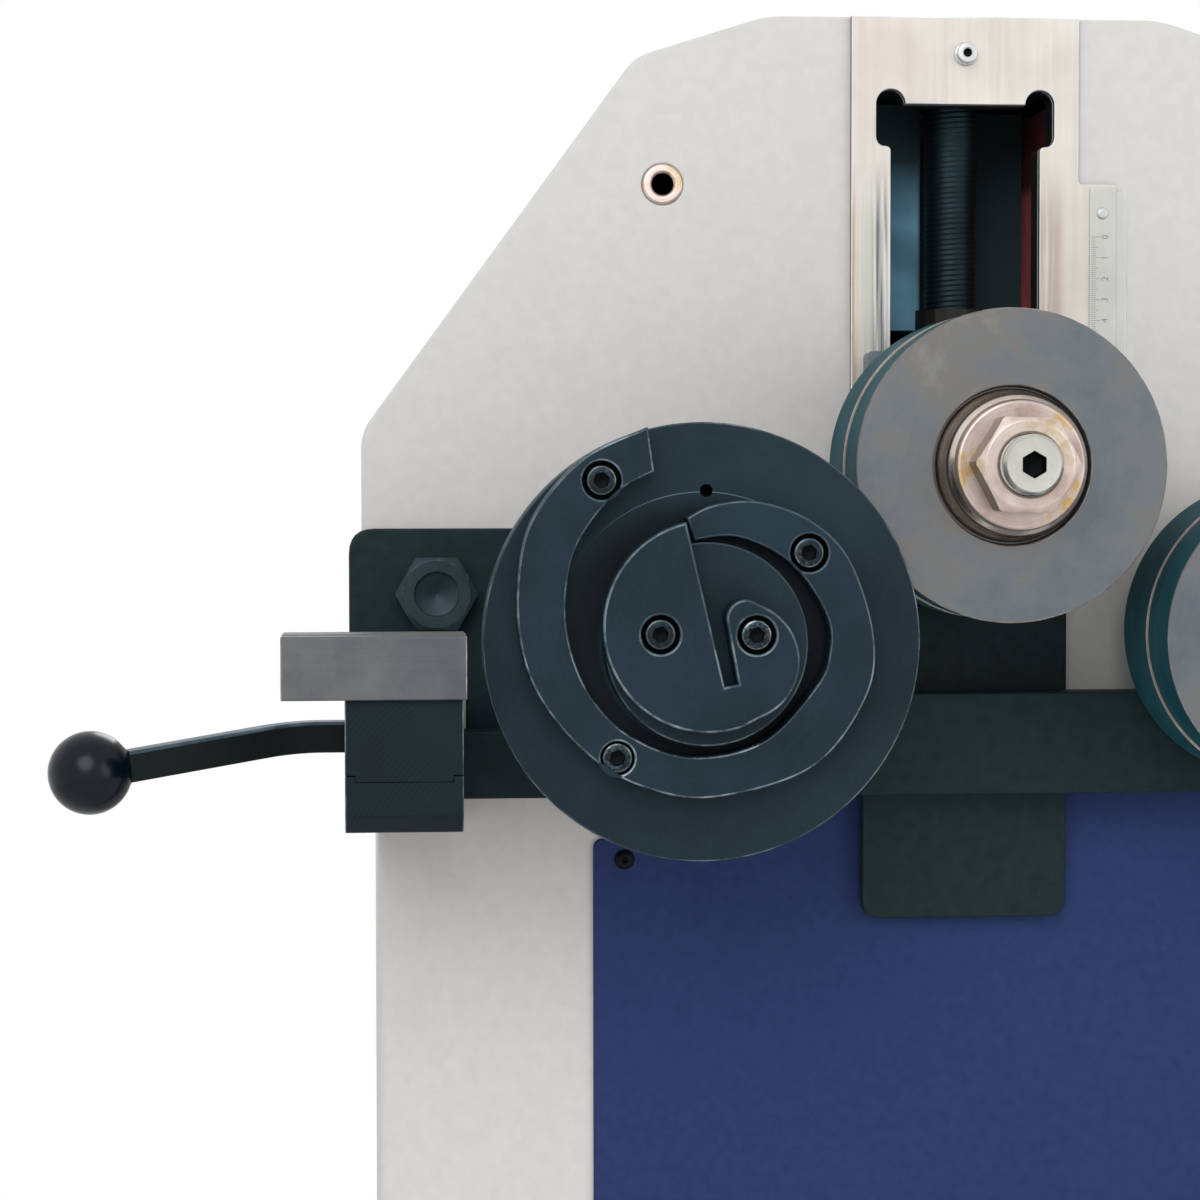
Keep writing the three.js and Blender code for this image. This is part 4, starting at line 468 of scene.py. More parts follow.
def softened(points, rounding=0.6, finish=0, edge_finish=1):
    """A profile whose corners are rounded. Points are (radius, along) or (radius, along, rounding)."""
    profile = []
    for i, (radius, along, *rest) in enumerate(points):
        size = rest[0] if rest else rounding
        if i in (0, len(points) - 1) or size <= 0 or radius < 1e-6:
            profile.append((radius, along, finish))
            continue
        corner = Vector((radius, along))
        before, after = Vector(points[i - 1][:2]) - corner, Vector(points[i + 1][:2]) - corner
        size = min(size, before.length * 0.45, after.length * 0.45)
        curve = curved(corner + before.normalized() * size, corner, corner + after.normalized() * size, 3)
        profile += [(*point, edge_finish if k < 3 else finish) for k, point in enumerate(curve)]
    return profile


# Solid forms

def placed(name, data):
    """A new object in the scene."""
    thing = bpy.data.objects.new(name, data)
    bpy.context.scene.collection.objects.link(thing)
    return thing


def sharpened(piece, crease=32):
    """Shades a piece smooth, apart from corners steeper than the crease, in degrees."""
    piece.data.set_sharp_from_angle(angle=math.radians(crease))
    piece.modifiers.new("normals", "WEIGHTED_NORMAL").keep_sharp = True


def at(axis, a, b, along):
    """A point from its place in an outline's plane and its place along the axis."""
    point = [a, b]
    point.insert("xyz".index(axis), along)
    return tuple(point)


class Form:
    """Points in millimetres, and faces with the numbers of their finishes."""

    def __init__(self):
        self.points = []
        self.faces = []
        self.finishes = []

    def ring(self, points):
        start = len(self.points)
        self.points.extend(points)
        return list(range(start, len(self.points)))

    def face(self, corners, finish):
        corners = list(dict.fromkeys(corners))
        if len(corners) > 2:
            self.faces.append(corners)
            self.finishes.append(finish)

    def bridge(self, a, b, finish=0):
        for i, _ in enumerate(a):
            self.face((a[i - 1], a[i], b[i], b[i - 1]), finish)

    def cap(self, rings, finish=0):
        """Closes flat rings, the outer one first and the holes after it."""
        flat = [i for ring in rings for i in ring]
        spots = [self.points[i] for i in flat]
        spans = [max(s[k] for s in spots) - min(s[k] for s in spots) for k in range(3)]
        across, up = sorted(sorted(range(3), key=lambda k: spans[k])[1:])
        edges = []
        for ring in rings:
            first = len(edges)
            edges += [(first + k, first + (k + 1) % len(ring)) for k in range(len(ring))]
        places = [Vector((s[across], s[up])) for s in spots]
        spread, _, triangles, sources, *_ = geometry.delaunay_2d_cdt(places, edges, [], 0, 1e-5)
        corner_of = []
        for place, source in zip(spread, sources):
            if source:
                corner_of.append(flat[source[0]])
                continue
            spot = list(spots[0])
            spot[across], spot[up] = place
            corner_of += self.ring([tuple(spot)])
        starts = numpy.array([places[a] for a, _ in edges])
        ends = numpy.array([places[b] for _, b in edges])
        rise = ends[:, 1] - starts[:, 1]
        slope = (ends[:, 0] - starts[:, 0]) / numpy.where(rise == 0, 1, rise)
        for corners in triangles:
            middle = sum((spread[k] for k in corners), Vector((0, 0))) / 3
            passed = (starts[:, 1] > middle.y) != (ends[:, 1] > middle.y)
            beyond = starts[:, 0] + slope * (middle.y - starts[:, 1]) > middle.x
            if (passed & beyond).sum() % 2:
                self.face([corner_of[k] for k in corners], finish)

    def flat(self, loops, y, finish=0):
        """Closes loops that lie flat at one Y, the outer one first."""
        self.cap([self.ring([(a, y, b) for a, b in loop]) for loop in loops], finish)

    def plate(
        self, outer, low, high, holes=(), edges=(0.8, 0.4), axis="y", edge_finish=1, finish=0, walls=(),
    ):
        """An outline made solid along an axis, with its edges rounded at the low and at the high end.

        Walls gives other finishes to the walls of the outline, number 0, and of its holes.
        """
        loops = [wound(distinct(outer), True)] + [wound(distinct(hole), False) for hole in holes]
        levels = []
        for end, edge, turns in ((low, edges[0], (0, 30, 60, 90)), (high, -edges[1], (90, 45, 0))):
            for turn in map(math.radians, turns):
                levels.append((abs(edge) * (1 - math.sin(turn)), end + edge * (1 - math.cos(turn))))
        stacks = []
        for number, loop in enumerate(loops):
            wall = dict(walls).get(number, finish)
            rings = [
                self.ring([at(axis, a, b, along) for a, b in (inset(loop, inward) if inward else loop)])
                for inward, along in levels
            ]
            for i, (a, b) in enumerate(zip(rings, rings[1:])):
                self.bridge(a, b, wall if i == 3 else edge_finish)
            stacks.append(rings)
        self.cap([rings[0] for rings in stacks], finish)
        self.cap([rings[-1] for rings in stacks], finish)
        return self

    def turned(self, profile, centre=(0, 0), count=96, axis="y", closed=False):
        """Turns (radius, along, finish) points about an axis. A finish is that of the band after its point.

        A radius or a place along the axis may be a function of the angle.
        """
        rings = []
        for radius, along, *_ in profile:
            points = []
            for angle in full_turn(count):
                r, a = [value(angle) if callable(value) else value for value in (radius, along)]
                points.append(at(axis, *around(centre, r, [angle])[0], a))
            rings.append(self.ring(points[:1]) * count if radius == 0 else self.ring(points))
        for level, a, b in zip(profile, rings, rings[1:] + rings[:1] * closed):
            self.bridge(a, b, level[2] if len(level) > 2 else 0)
        return self

    def moved(self, place):
        """Sends each point through a function of its three coordinates."""
        self.points = [place(*point) for point in self.points]
        return self

    def flipped(self, y):
        return self.moved(lambda a, b, c: (a, 2 * y - b, c))

    def mesh(self, name, finishes=()):
        """The form in metres, without doubled points. A number past the last finish takes that one."""
        mesh = bpy.data.meshes.new(name)
        mesh.from_pydata([Vector(p) * MM for p in self.points], [], self.faces)
        last = max(len(finishes) - 1, 0)
        mesh.polygons.foreach_set("material_index", [min(number, last) for number in self.finishes])
        for finish in finishes:
            mesh.materials.append(finish)
        work = bmesh.new()
        work.from_mesh(mesh)
        bmesh.ops.remove_doubles(work, verts=work.verts, dist=1e-7)
        bmesh.ops.recalc_face_normals(work, faces=work.faces)
        work.to_mesh(mesh)
        work.free()
        return mesh

    def show(self, name, look, node=None, body="root", crease=32):
        """Makes the form a piece that rides on a body and stands for a node, by default that of its name."""
        slot, *finishes = look
        piece = placed(f"{name}_form", self.mesh(f"{name}_form", finishes))
        piece.data.shade_smooth()
        sharpened(piece, crease)
        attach(piece, body)
        if node or name in NODES:
            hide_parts(node or name)
        return piece


def carve(piece, outline, low, high, axis="y"):
    """Cuts an outline out of a piece, from one place along the axis to another."""
    sharp = (0.01, 0.01)
    tool = placed("tool", Form().plate(outline, low, high, (), sharp, axis).mesh("tool"))
    cut = piece.modifiers.new("cut", "BOOLEAN")
    cut.object = tool
    cut.solver = "EXACT"
    piece.modifiers.move(len(piece.modifiers) - 1, 0)
    shown = bpy.data.meshes.new_from_object(piece.evaluated_get(bpy.context.evaluated_depsgraph_get()))
    old = piece.data
    piece.modifiers.clear()
    piece.data = shown
    sharpened(piece)
    bpy.data.meshes.remove(old)
    bpy.data.objects.remove(tool)


def paint(node, material, bevel=0.0):
    """Gives a solid that stays its finish, and a rounded edge if asked."""
    solid = NODES[node]
    solid.data.materials.clear()
    solid.data.materials.append(material)
    if bevel:
        edges = solid.modifiers.new("edges", "BEVEL")
        edges.width = bevel * MM
        edges.segments = 2
        edges.limit_method = "ANGLE"
        edges.angle_limit = math.radians(35)


# Screws and nuts

def hexagon(flats, turn=0.0):
    """The distance to a hexagon's side at each angle. Its first corner points along turn."""
    return lambda angle: flats / 2 / math.cos((angle - turn) % (math.pi / 3) - math.pi / 6)


def socket_levels(flats, top, depth, turn=0.0):
    """The profile of a hexagon socket that is sunk from the face at top."""
    side = hexagon(flats, turn)
    # The socket's faces take finish 1, which the screws and the shaft give as painted shade
    return [
        (lambda angle: side(angle) + 0.25, top, 1), (side, top + 0.3, 1), (side, top + depth, 1),
        (0.01, top + depth + flats * 0.12, 1),
    ]


def button_screw(place, seat):
    dome = [(4.8, 0), (4.7, 0.7), (4.2, 1.45), (3.4, 2.1), (2.6, 2.4)]
    head = [(radius, seat - height) for radius, height in dome] + socket_levels(2.5, seat - 2.4, 1.6)
    stem = [(4.8, seat), (2.4, seat), (2.4, seat + 8), (0, seat + 8)]
    return Form().turned(head, place, 48).turned(stem, place, 48)


def flush_screw(place, face):
    """A screw sunk level with the back, which faces +Y."""
    foot = face + 2.3
    head = [(4.7, foot), (4.7, face + 0.3), (4.4, face), *socket_levels(3, face, 1.4)]
    return Form().turned(head, place, 48).turned([(4.7, foot), (0, foot)], place, 48).flipped(face)


def hex_head(place, flats, back, front, turn, bore=0.0, dish=(), edge_finish=1, dish_finish=0, side_shade_finish=0):
    """A hexagon with a bore or a dish, its front corners turned to a cone. Turn is in degrees."""
    inner = flats / 2 * 0.94
    reach = flats / math.sqrt(3) * 0.988
    sides = hexagon(flats, math.radians(turn))

    def side(angle):
        return min(sides(angle), reach)

    def cone(angle):
        return front + (side(angle) - inner) * math.tan(math.radians(30))

    levels = [
        (lambda angle: side(angle) - 0.3, back, edge_finish), (side, back - 0.3, side_shade_finish),
        (side, lambda angle: cone(angle) + 0.25, edge_finish), (lambda angle: side(angle) - 0.25, cone),
        (inner + 0.2, front + 0.1, edge_finish), (inner - 0.25, front),
    ]
    if bore:
        levels += [(bore + 1.2, front, edge_finish), (bore, front + 1), (bore, back)]
    else:
        radius, depth, wall = dish
        levels += [
            (radius + 0.5, front, edge_finish), (radius, front + 0.5, dish_finish),
            (radius - 0.2, front + wall, dish_finish), (0.01, front + depth, dish_finish),
        ]
    return Form().turned(levels, place, closed=bool(bore))


def socket_screw(place, top):
    """A cap screw: knurled head, rounded rim and hexagon socket. Finishes: steel, socket, rim."""
    head, flutes = 6.5, 36

    def knurl(angle):
        return head - 0.22 * (0.5 - 0.5 * math.cos(flutes * angle)) ** 0.5

    levels = [(knurl, top + 8), (knurl, top + 0.9, 2), (6.15, top + 0.3, 2), (5.6, top)]
    stem = [(head, top + 8), (4, top + 8), (4, top + 16), (0, top + 16)]
    return Form().turned(levels + socket_levels(6, top, 4, 0.3), place, 288).turned(stem, place, 32)


# Cabinet

def make_base_plate():
    holes = [circle((x, y), 7, 32) for x in (-302, 302) for y in (-244, 244)]
    form = Form().plate(box_outline(-320, 320, -280, 280, 5), 0, BASE_TOP, holes, (0.6, 1.2), "z")
    form.show("base_plate", PAINTED)


def make_cabinet_shell():
    """Bent sheet round the sides and the back, open in front behind the blue panel."""
    def bend(inward, rounding):
        side, face = -CABINET_HALF + inward, CABINET_FACE - inward
        return mirrored([(-122, -CABINET_FACE + inward), (side, -face, rounding), (side, face, rounding)])

    shell = rounded(bend(0, 5) + bend(SHEET, 3)[::-1])
    Form().plate(shell, BASE_TOP, CABINET_TOP, (), (0.3, 0.3), "z").show("cabinet", PAINTED, "cabinet_shell")


def make_deck():
    outline = box_outline(-HEAD_HALF, HEAD_HALF, FACE_Y, BACK_Y, 1.5)
    opening = box_outline(-251.5, 251.5, -71, -33)
    Form().plate(outline, CABINET_TOP, DECK_TOP, [opening], (1, 0.3), "z").show("deck", PAINTED, "deck_plate")


def make_front_panel():
    seat = -CABINET_FACE - 2
    panel = mirrored([(-132, 929.9, 2), (-152, 898, 2), (-178, 898, 5), (-178, 10.1, 1.4)])
    holes = [circle(place, 2.7, 24) for place in (*PANEL_SCREWS.values(), *LOWER_PANEL_SCREWS)]
    form = Form().plate(rounded(panel), seat, -CABINET_FACE, holes, (0.7, 0.2))
    form.show("panel", ("blue_paint", BLUE), "front_panel")
    for i, place in enumerate(LOWER_PANEL_SCREWS, 1):
        button_screw(place, seat).show(f"lower_panel_screw_{i}", BLACK_SCREW)
    for side, place in PANEL_SCREWS.items():
        button_screw(place, seat).show(f"panel_screw_{side}", BLACK_SCREW)


def make_service_panel():
    """The screwed panel on the cabinet's back, with two columns of pressed louvres."""
    face = CABINET_FACE + 2
    outline = box_outline(-205, 205, 110, 850, 10)
    form = Form().plate(outline, CABINET_FACE, face, (), (0.2, 0.8), edge_finish=0)
    for x in (-95, 95):
        for z in range(660, 787, 18):
            hood = [(face - 0.1, z + 10), (face + 3, z + 3, 1.2), (face + 3, z), (face - 0.1, z)]
            form.plate(rounded(hood, 3), x - 62, x + 62, (), (0.5, 0.5), "x", 0)
            # A flat strip of painted shade under each hood stands for the louvre's opening
            form.flat([box_outline(x - 60, x + 60, z - 2.4, z - 0.2)], face + 0.05, 1)
    form.show("service_panel", ("grey_paint", GREY, HOLLOW_SHADE))
    for side, sign in SIDES:
        for row in range(4):
            form = button_screw((190 * sign, 125 + 236.7 * row), face).flipped(face)
            form.show(f"service_screw_{side}_{row + 1}", BLACK_SCREW)


# Head

def head_outline(shrink=0.0):
    return rounded(mirrored([
        (-HEAD_HALF + shrink, DECK_TOP), (-HEAD_HALF + shrink, HEAD_TOP - 197.6 - shrink / 2, 8),
        (-158 + shrink / 2, HEAD_TOP - 20 - shrink, 8), (-95, HEAD_TOP - shrink, 8),
    ]))


def slot_outline():
    """The roller slot with its two ears, from the bottom left corner round the top."""
    half, ear, well = 36, 7, SLOT_TOP - 20
    bends = [(-half, well - 4), (-half, well, 2.5), (-half - ear, well, 5), (-half - ear, well + 12)]
    left = [(-half, SLOT_BOTTOM), *rounded(bends)[1:-1], *arc((-half, SLOT_TOP), ear, 180, 0, 20)]
    return mirrored([*left, (-half + ear + 0.5, SLOT_TOP)])


def bolt_holes():
    return [circle(place, 11.1, 32) for place in CARRIER_BOLTS.values()]


def make_front_plate():
    bearings = [circle((sign * SHAFT_SPREAD, SHAFT_HEIGHT), 36.3, 64) for _, sign in SIDES]
    bushes = [circle(place, 9.75, 40) for place in BUSHES.values()]
    holes = [slot_outline(), *bearings, *bushes, *bolt_holes(), circle(TOP_BOLT, 3.3, 24)]
    # The walls of the slot and of the bushes' holes take the dark second finish
    darkened_zones = {1: 1, 4: 1, 5: 1}
    form = Form().plate(
        head_outline(), FACE_Y, FACE_Y + FRONT_PLATE, holes, (1.2, 0.3), edge_finish=0, walls=darkened_zones,
    )
    form.show("front_plate", ("grey_paint", GREY, DARK_WALL), "head_front_plate")


def make_head_shell():
    shell = head_outline() + head_outline(SHEET)[::-1]
    form = Form().plate(shell, FACE_Y + FRONT_PLATE, BACK_Y - SHEET, (), (0.2, 0.2))
    piece = form.show("head_shell", PAINTED)
    carve(piece, circle(SPINDLE_PLACE, 13), HEAD_TOP - 8, HEAD_TOP + 8, "z")


def make_back_cover():
    screws = mirrored([(-262, 962), (-262, 1076), (-168, 1214), (-56, 1266)])
    holes = [circle(place, 5, 32) for place in screws]
    form = Form().plate(head_outline(), BACK_Y - SHEET, BACK_Y, holes, (0.2, 0.5))
    form.show("back_cover", PAINTED, "head_back_cover")
    for i, place in enumerate(screws, 1):
        flush_screw(place, BACK_Y - 0.3).show(f"cover_screw_{i}", BLACK_SCREW)


def make_head_screws():
    for side, sign in SIDES:
        for i, y in enumerate((-210, 0, 210), 1):
            form = button_screw((0, 0), 0)
            form.moved(lambda a, b, c: (sign * (HEAD_HALF - b), y + a, DECK_TOP + 15 + c))
            form.show(f"head_screw_{side}_{i}", BLACK_SCREW)


def make_bushes():
    bore = 5.2
    rim = [(bore, 0.2, 0.3), (6.2, 1.2, 0.3), (8.9, 1.2, 0.7), (9.7, 0.2, 0.5), (9.7, -15)]
    profile = softened(from_face([(bore, -15), *rim, (bore, -15)]), 0, 0, 0)
    for side, place in BUSHES.items():
        # The bore, the first band, takes the second finish, painted shade
        form = Form().turned([(*profile[0][:2], 1), *profile[1:]], place, 64)
        zinc = passivated_zinc(f"bush_{side}", place)
        form.show(f"bush_{side}", ("passivated_zinc", zinc, HOLLOW_SHADE), f"accessory_bush_{side}")


# Slide plate, its bolt and the ruler

def make_slide_plate():
    wing, strip_right, low = 73.5, 79, 1073.3
    outline = slot_outline() + rounded([
        (55, SLOT_BOTTOM), (55, low), (wing, low), (wing, 1211.3, 2), (55, 1211.3, 2),
        (55, HEAD_TOP), (-55, HEAD_TOP), (-55, SLOT_BOTTOM),
    ])
    holes = [circle(TOP_BOLT, 3.3, 24)]
    form = Form().plate(outline, FACE_Y - SLIDE_PLATE, FACE_Y, holes, (0.5, 0.1), walls={0: 2})
    strip = rounded([(wing, low), (strip_right, low), (strip_right, 1208.1, 4), (wing, 1208.1)])
    form.plate(strip, FACE_Y - 1.5, FACE_Y, (), (0.4, 0.1), finish=3)
    form.show("slide_plate", ("zinc_plate", ZINC, BRIGHT_ZINC, DARK_WALL, RULE))


def make_top_bolt():
    seat = FACE_Y - SLIDE_PLATE
    # The dish in the head takes the second finish, painted shade
    form = hex_head(TOP_BOLT, 9, seat - 1.3, seat - 5.2, 8, dish=(2, 3, 2.6), edge_finish=0, dish_finish=1)
    flange = [(3, seat), (5.8, seat, 0.3), (5.6, seat - 0.9, 0.4), (4.6, seat - 1.3)]
    form.turned(softened(flange, 0.3, 0, 0), TOP_BOLT, 48)
    form.turned([(3, seat), (3, FACE_Y + 22), (0, FACE_Y + 22)], TOP_BOLT, 24)
    form.show("top_bolt", ("zinc_plate", BRIGHT_ZINC, HOLLOW_SHADE), "slide_plate_bolt")


def make_ruler():
    """A steel rule with a mark each millimetre, a longer one each fifth and tenth, and plain numbers."""
    left, top_mark, numbers_x = 60.4, 1186, 68
    seat = FACE_Y - SLIDE_PLATE
    face = seat - 0.8
    ink, ink_y = 3, face - 0.02
    form = Form().plate(box_outline(left, 72.9, 1077.8, 1209.8, 0.8), face, seat, (), (0.15, 0.05))
    rivet = [(2.9, face), (2.9, face - 0.25, 0.2), (2.2, face - 0.8, 0.4), (0, face - 1)]
    form.turned(softened(rivet, 0.2, 2, 2), (66.6, 1197.2), 32)
    for step in range(101):
        length = 5 if step % 10 == 0 else 3.6 if step % 5 == 0 else 2.4
        z = top_mark - step
        form.flat([box_outline(left + 0.6, left + 0.6 + length, z - 0.12, z + 0.12)], ink_y, ink)
    for number in range(11):
        add_number(form, str(number), numbers_x, top_mark - 10 * number, ink_y, ink)
    form.show("ruler", ("rule_steel", RULE, RULE, BRIGHT_ZINC, INK), "travel_ruler")


def add_number(form, text, x, z, y, finish):
    """A plain number, turned to read from the right, flat on the face at y."""
    curve = bpy.data.curves.new("number", "FONT")
    curve.body = text
    curve.size = 4.4
    curve.align_x = "CENTER"
    curve.align_y = "CENTER"
    curve.resolution_u = 3
    holder = bpy.data.objects.new("number", curve)
    flat = bpy.data.meshes.new_from_object(holder)
    corners = form.ring((x - v.co.y, y, z + v.co.x) for v in flat.vertices)
    for polygon in flat.polygons:
        form.face([corners[i] for i in polygon.vertices], finish)
    bpy.data.objects.remove(holder)
    bpy.data.curves.remove(curve)
    bpy.data.meshes.remove(flat)


# Carrier across the front

def make_carrier_plate():
    outline = rounded(mirrored([
        (-49.5, SLOT_BOTTOM, 2), (-49.5, 952, 4), (-206, 952, 4), (-206, 1047, 10), (-294, 1047, 12),
        (-294, 978, 1.8), (-239, 978, 2), (-239, 921, 1.8), (-49.5, 921, 3), (-49.5, 859.5, 9),
    ]))
    form = Form().plate(outline, FACE_Y - 6, FACE_Y, bolt_holes(), (1.1, 0.3))
    form.show("carrier_plate", DARK_PAINTED)


def make_carrier_bar():
    bar = rounded(mirrored([(-190, 969, 2), (-206, 952.5, 2), (-292, 952.5, 1.8), (-292, 921, 1.8)]))
    Form().plate(bar, FACE_Y - 26, FACE_Y - 6, (), (1, 0.5)).show("carrier_bar", DARK_PAINTED)


def make_carrier_bolts():
    stem = from_face([(10.8, 6), (10.8, -14), (0, -14)])
    stops = {0: (36, 50, 56), 1: (56, 70, 76)}
    for side, place in CARRIER_BOLTS.items():
        form = hex_head(place, 34, FACE_Y - 6, FACE_Y - 20, 0, dish=(10.2, 5, 1.7)).turned(stem, place, 32)
        face = turned_steel(f"bolt_{side}", place, stops, 0.5, 0.4, metal=0.4, gloss=0.16)
        form.show(f"carrier_bolt_{side}", ("dark_paint", face, DARK_WORN))


# Bearings, rollers and shafts

def make_bearings():
    ring = softened(from_face([
        (BORE, 5.5), (44, 5.5, 1), (44, 0, 0.3), (36, 0, 0.1), (36, -25, 0.8), (BORE, -25),
        (BORE, 5.5),
    ]))
    for side, sign in SIDES:
        place = (sign * SHAFT_SPREAD, SHAFT_HEIGHT)
        steel = turned_steel(f"bearing_{side}", place, {0: (150, 152, 152), 1: (190, 192, 190)})
        Form().turned(ring, place).show(f"bearing_{side}", ("ground_steel", steel), f"bearing_{side}_front")
        paint(f"bearing_{side}_rear", steel)


INNER_RING = [
    (BORE, 31.85), (70, 31.85, 0.7), (70, 70.95, 0.7), (69, 70.95, 0.3), (69, 85.95, 0.4),
    (BORE, 85.95), (BORE, 31.85),
]
OUTER_RING = [
    (BORE, 86), (70, 86, 0.7), (70, 107, 0.6), (35.6, 107, 0.5), (35, 102, 0.3), (BORE, 102),
    (BORE, 86),
]
WASHER = [
    (13.5, 101.95), (34.2, 101.95, 0.3), (34.2, 105.8, 1.2), (32, 109.6, 1.6), (31, 113, 0.6), (31, 118, 0.4),
    (28.9, 120.6, 0.4), (28.4, 125, 1.3), (13.5, 125), (13.5, 101.95),
]


def banded(profile):
    """Gives the turned faces that lie along the axis the side's finish, and the front edges the rim's."""
    made = []
    for (radius, along, finish), after in zip(profile, profile[1:] + profile[-1:]):
        if finish == 0 and abs(after[0] - radius) < 0.01 and radius > 60:
            finish = 2
        made.append((radius, along, 3 if finish == 1 and along < FACE_Y - 100 else finish))
    return made


def make_rollers(name, body, centre):
    """The two rings of a roller. Finishes: face, edge, side, rim."""
    # The sides' teal is a painted reflection
    side = turned_steel(f"{name}_side", centre, SIDE_REFLECTION_STOPS, 0.5, 0.2, metal=0.1, gloss=0.04)
    face = turned_steel(f"{name}_face", centre, ROLLER_STOPS, 0.38, cloud=22, ringed=0.1, metal=0.8)
    look = ("roller_steel", face, WORN_ROLLER, side, ROLLER_RIM)
    for part, points in (("outer", OUTER_RING), ("inner", INNER_RING)):
        form = Form().turned(banded(softened(from_face(points))), centre, 160)
        form.show(f"{name}_{part}", look, f"{name}_roller_{part}", body)


def make_washer(name, body, centre):
    """The flared washer, whose outside is turned bright. Finishes: zinc, edge, collar."""
    zinc = passivated_zinc(f"{name}_washer_zinc", centre, 0.9, straw=(218, 178, 112))
    stops = {0: (196, 180, 170), 1: (232, 218, 208)}
    collar = turned_steel(f"{name}_collar_steel", centre, stops, 0.24)
    profile = [(r, a, 2 if r > 28.5 else finish) for r, a, finish in softened(from_face(WASHER), 0.5)]
    look = ("passivated_zinc", zinc, zinc, collar)
    Form().turned(profile, centre, 120).show(f"{name}_washer", look, body=body)


def make_nut(name, body, centre, turn):
    zinc = passivated_zinc(f"{name}_nut_zinc", centre, 0.94, 0.6)
    # Painted shade: a darker copy of the zinc for the nut's flanks
    side = passivated_zinc(f"{name}_nut_side_shade", centre, 0.36, 0.6)
    form = hex_head(centre, 41, FACE_Y - 125.05, FACE_Y - 142.05, turn, bore=13.5, side_shade_finish=2)
    form.show(f"{name}_nut", ("passivated_zinc", zinc, zinc, side), body=body)


def thread_profile(radius, start, end, pitch=1.5, depth=0.8):
    """The teeth of a thread along a turned profile, from one Y to a lower one."""
    points = []
    y = start
    while y - pitch > end:
        points += [(radius - depth, y), (radius, y - pitch * 0.45), (radius, y - pitch * 0.6)]
        y -= pitch
    return points


def make_shaft(name, body, centre, back):
    steel = turned_steel(f"{name}_shaft_steel", centre, {0: (184, 184, 176), 1: (216, 215, 208)}, 0.3)
    end, neck, mouth = FACE_Y - 149.5, 13.2, 11.7
    shaft = from_face([
        (0, -back), (SHAFT - 1, -back), (SHAFT, 1 - back), (SHAFT, 18), (27, 18), (27, 31.8), (SHAFT, 31.8),
        (SHAFT, 101), (neck, 101),
    ])
    shaft += thread_profile(neck, FACE_Y - 125, end + 2.2)
    shaft += [(neck, end + 2), (12.1, end + 0.4), (mouth, end)]
    socket = [(mouth, end), *socket_levels(10, end, 8, math.radians(30))]
    form = Form().turned(shaft, centre).turned(socket, centre)
    form.show(f"{name}_shaft", ("ground_steel", steel, HOLLOW_SHADE), body=body)


def make_roller_set(name, body, centre, back, nut_turn):
    make_rollers(name, body, centre)
    make_washer(name, body, centre)
    make_nut(name, body, centre, nut_turn)
    make_shaft(name, body, centre, back)


# Lift spindle: a two-start thread that rises 5 mm a turn

def make_spindle():
    top, low, high = 1283.95, 1113.7, 1251.95
    count, pitch, starts, depth = 48, 2.5, 2, 0.3
    rows = int((high - low) / pitch * 6)

    def threaded(z):
        """The radius at each angle, for one height."""
        def radius(angle):
            phase = (z / pitch - starts * angle / (2 * math.pi)) % 1
            flank = min(max(abs(phase - 0.5) * 4 - 0.5, 0), 1)
            return 12.6 - depth * flank * min(1, (z - low) / pitch, (high - z) / pitch + 0.3)

        return radius

    heights = [low + (high - low) * row / rows for row in range(rows + 1)]
    form = Form().turned([(threaded(z), z) for z in heights], SPINDLE_PLACE, count, "z")
    form.cap([range(count)])
    collar = [(0, high), (17, high), (17, high + 6), (9, high + 6), (9, top), (8.1, top)]
    form.turned(collar, SPINDLE_PLACE, 64, "z")
    corners = around(SPINDLE_PLACE, 8.08, [math.radians(60 * k) for k in range(6)])
    form.plate(corners, top - 1, 1288.5, (), (0.05, 0.8), "z")
    steel = turned_steel("spindle_steel", (0, 1200), {0: (26, 38, 42), 1: (40, 56, 61)}, 0.5, metal=0.9)
    form.show("spindle", ("black_steel", steel), "lift_spindle", "spindle", 50)


def make_web():
    """The bent plate that closes the channel behind the spindle, from rail to rail."""
    section = [
        (-47.9, -226), (-11, -226), (-11, -192), (47.9, -192), (47.9, -186), (-17, -186), (-17, -220),
        (-47.9, -220),
    ]
    Form().plate(section, 1144, 1256, (), (0.4, 0.4), "z").show("web", ("grey_paint", web_paint()))


# Scroll tool: the band's edges as (degrees, radius) and places as (across, up) from the scroll's centre

BAND_OUTER = (
    (105.2, 96.2), (124, 95.6), (145, 92), (165, 84.2), (185, 78.6), (203, 73.6), (225, 69.2), (246, 67),
    (272, 66), (310, 70), (340, 72.7), (362, 72.5), (390, 71.6), (410, 69.4), (430, 65), (447, 59.8),
    (459, 54.9),
)
BAND_INNER = (
    (457, 44.9), (433, 47.8), (403, 50), (373, 53), (355, 53), (338, 50.4), (300, 48.4), (262, 48.8),
    (230, 51), (205, 54.1), (184, 57.8), (165, 62.6), (147, 68.5), (133, 72.2), (118.5, 75.8), (107, 77.2),
)
BAND_SCREWS = ((44.2, 39), (-38.4, -48.6), (-45.1, 70.2))
HOOK_SCREWS = ((-21.3, 4.9), (19.7, 4.5))
DISC_FACE = FACE_Y - 127
BOSS_FACE = FACE_Y - 143
HOOK_FACE = FACE_Y - 157
DISC_RADIUS = 95.4
BOSS_RADIUS = 43.8


def on_scroll(place):
    return SCROLL_CENTRE[0] + place[0], SCROLL_CENTRE[1] + place[1]


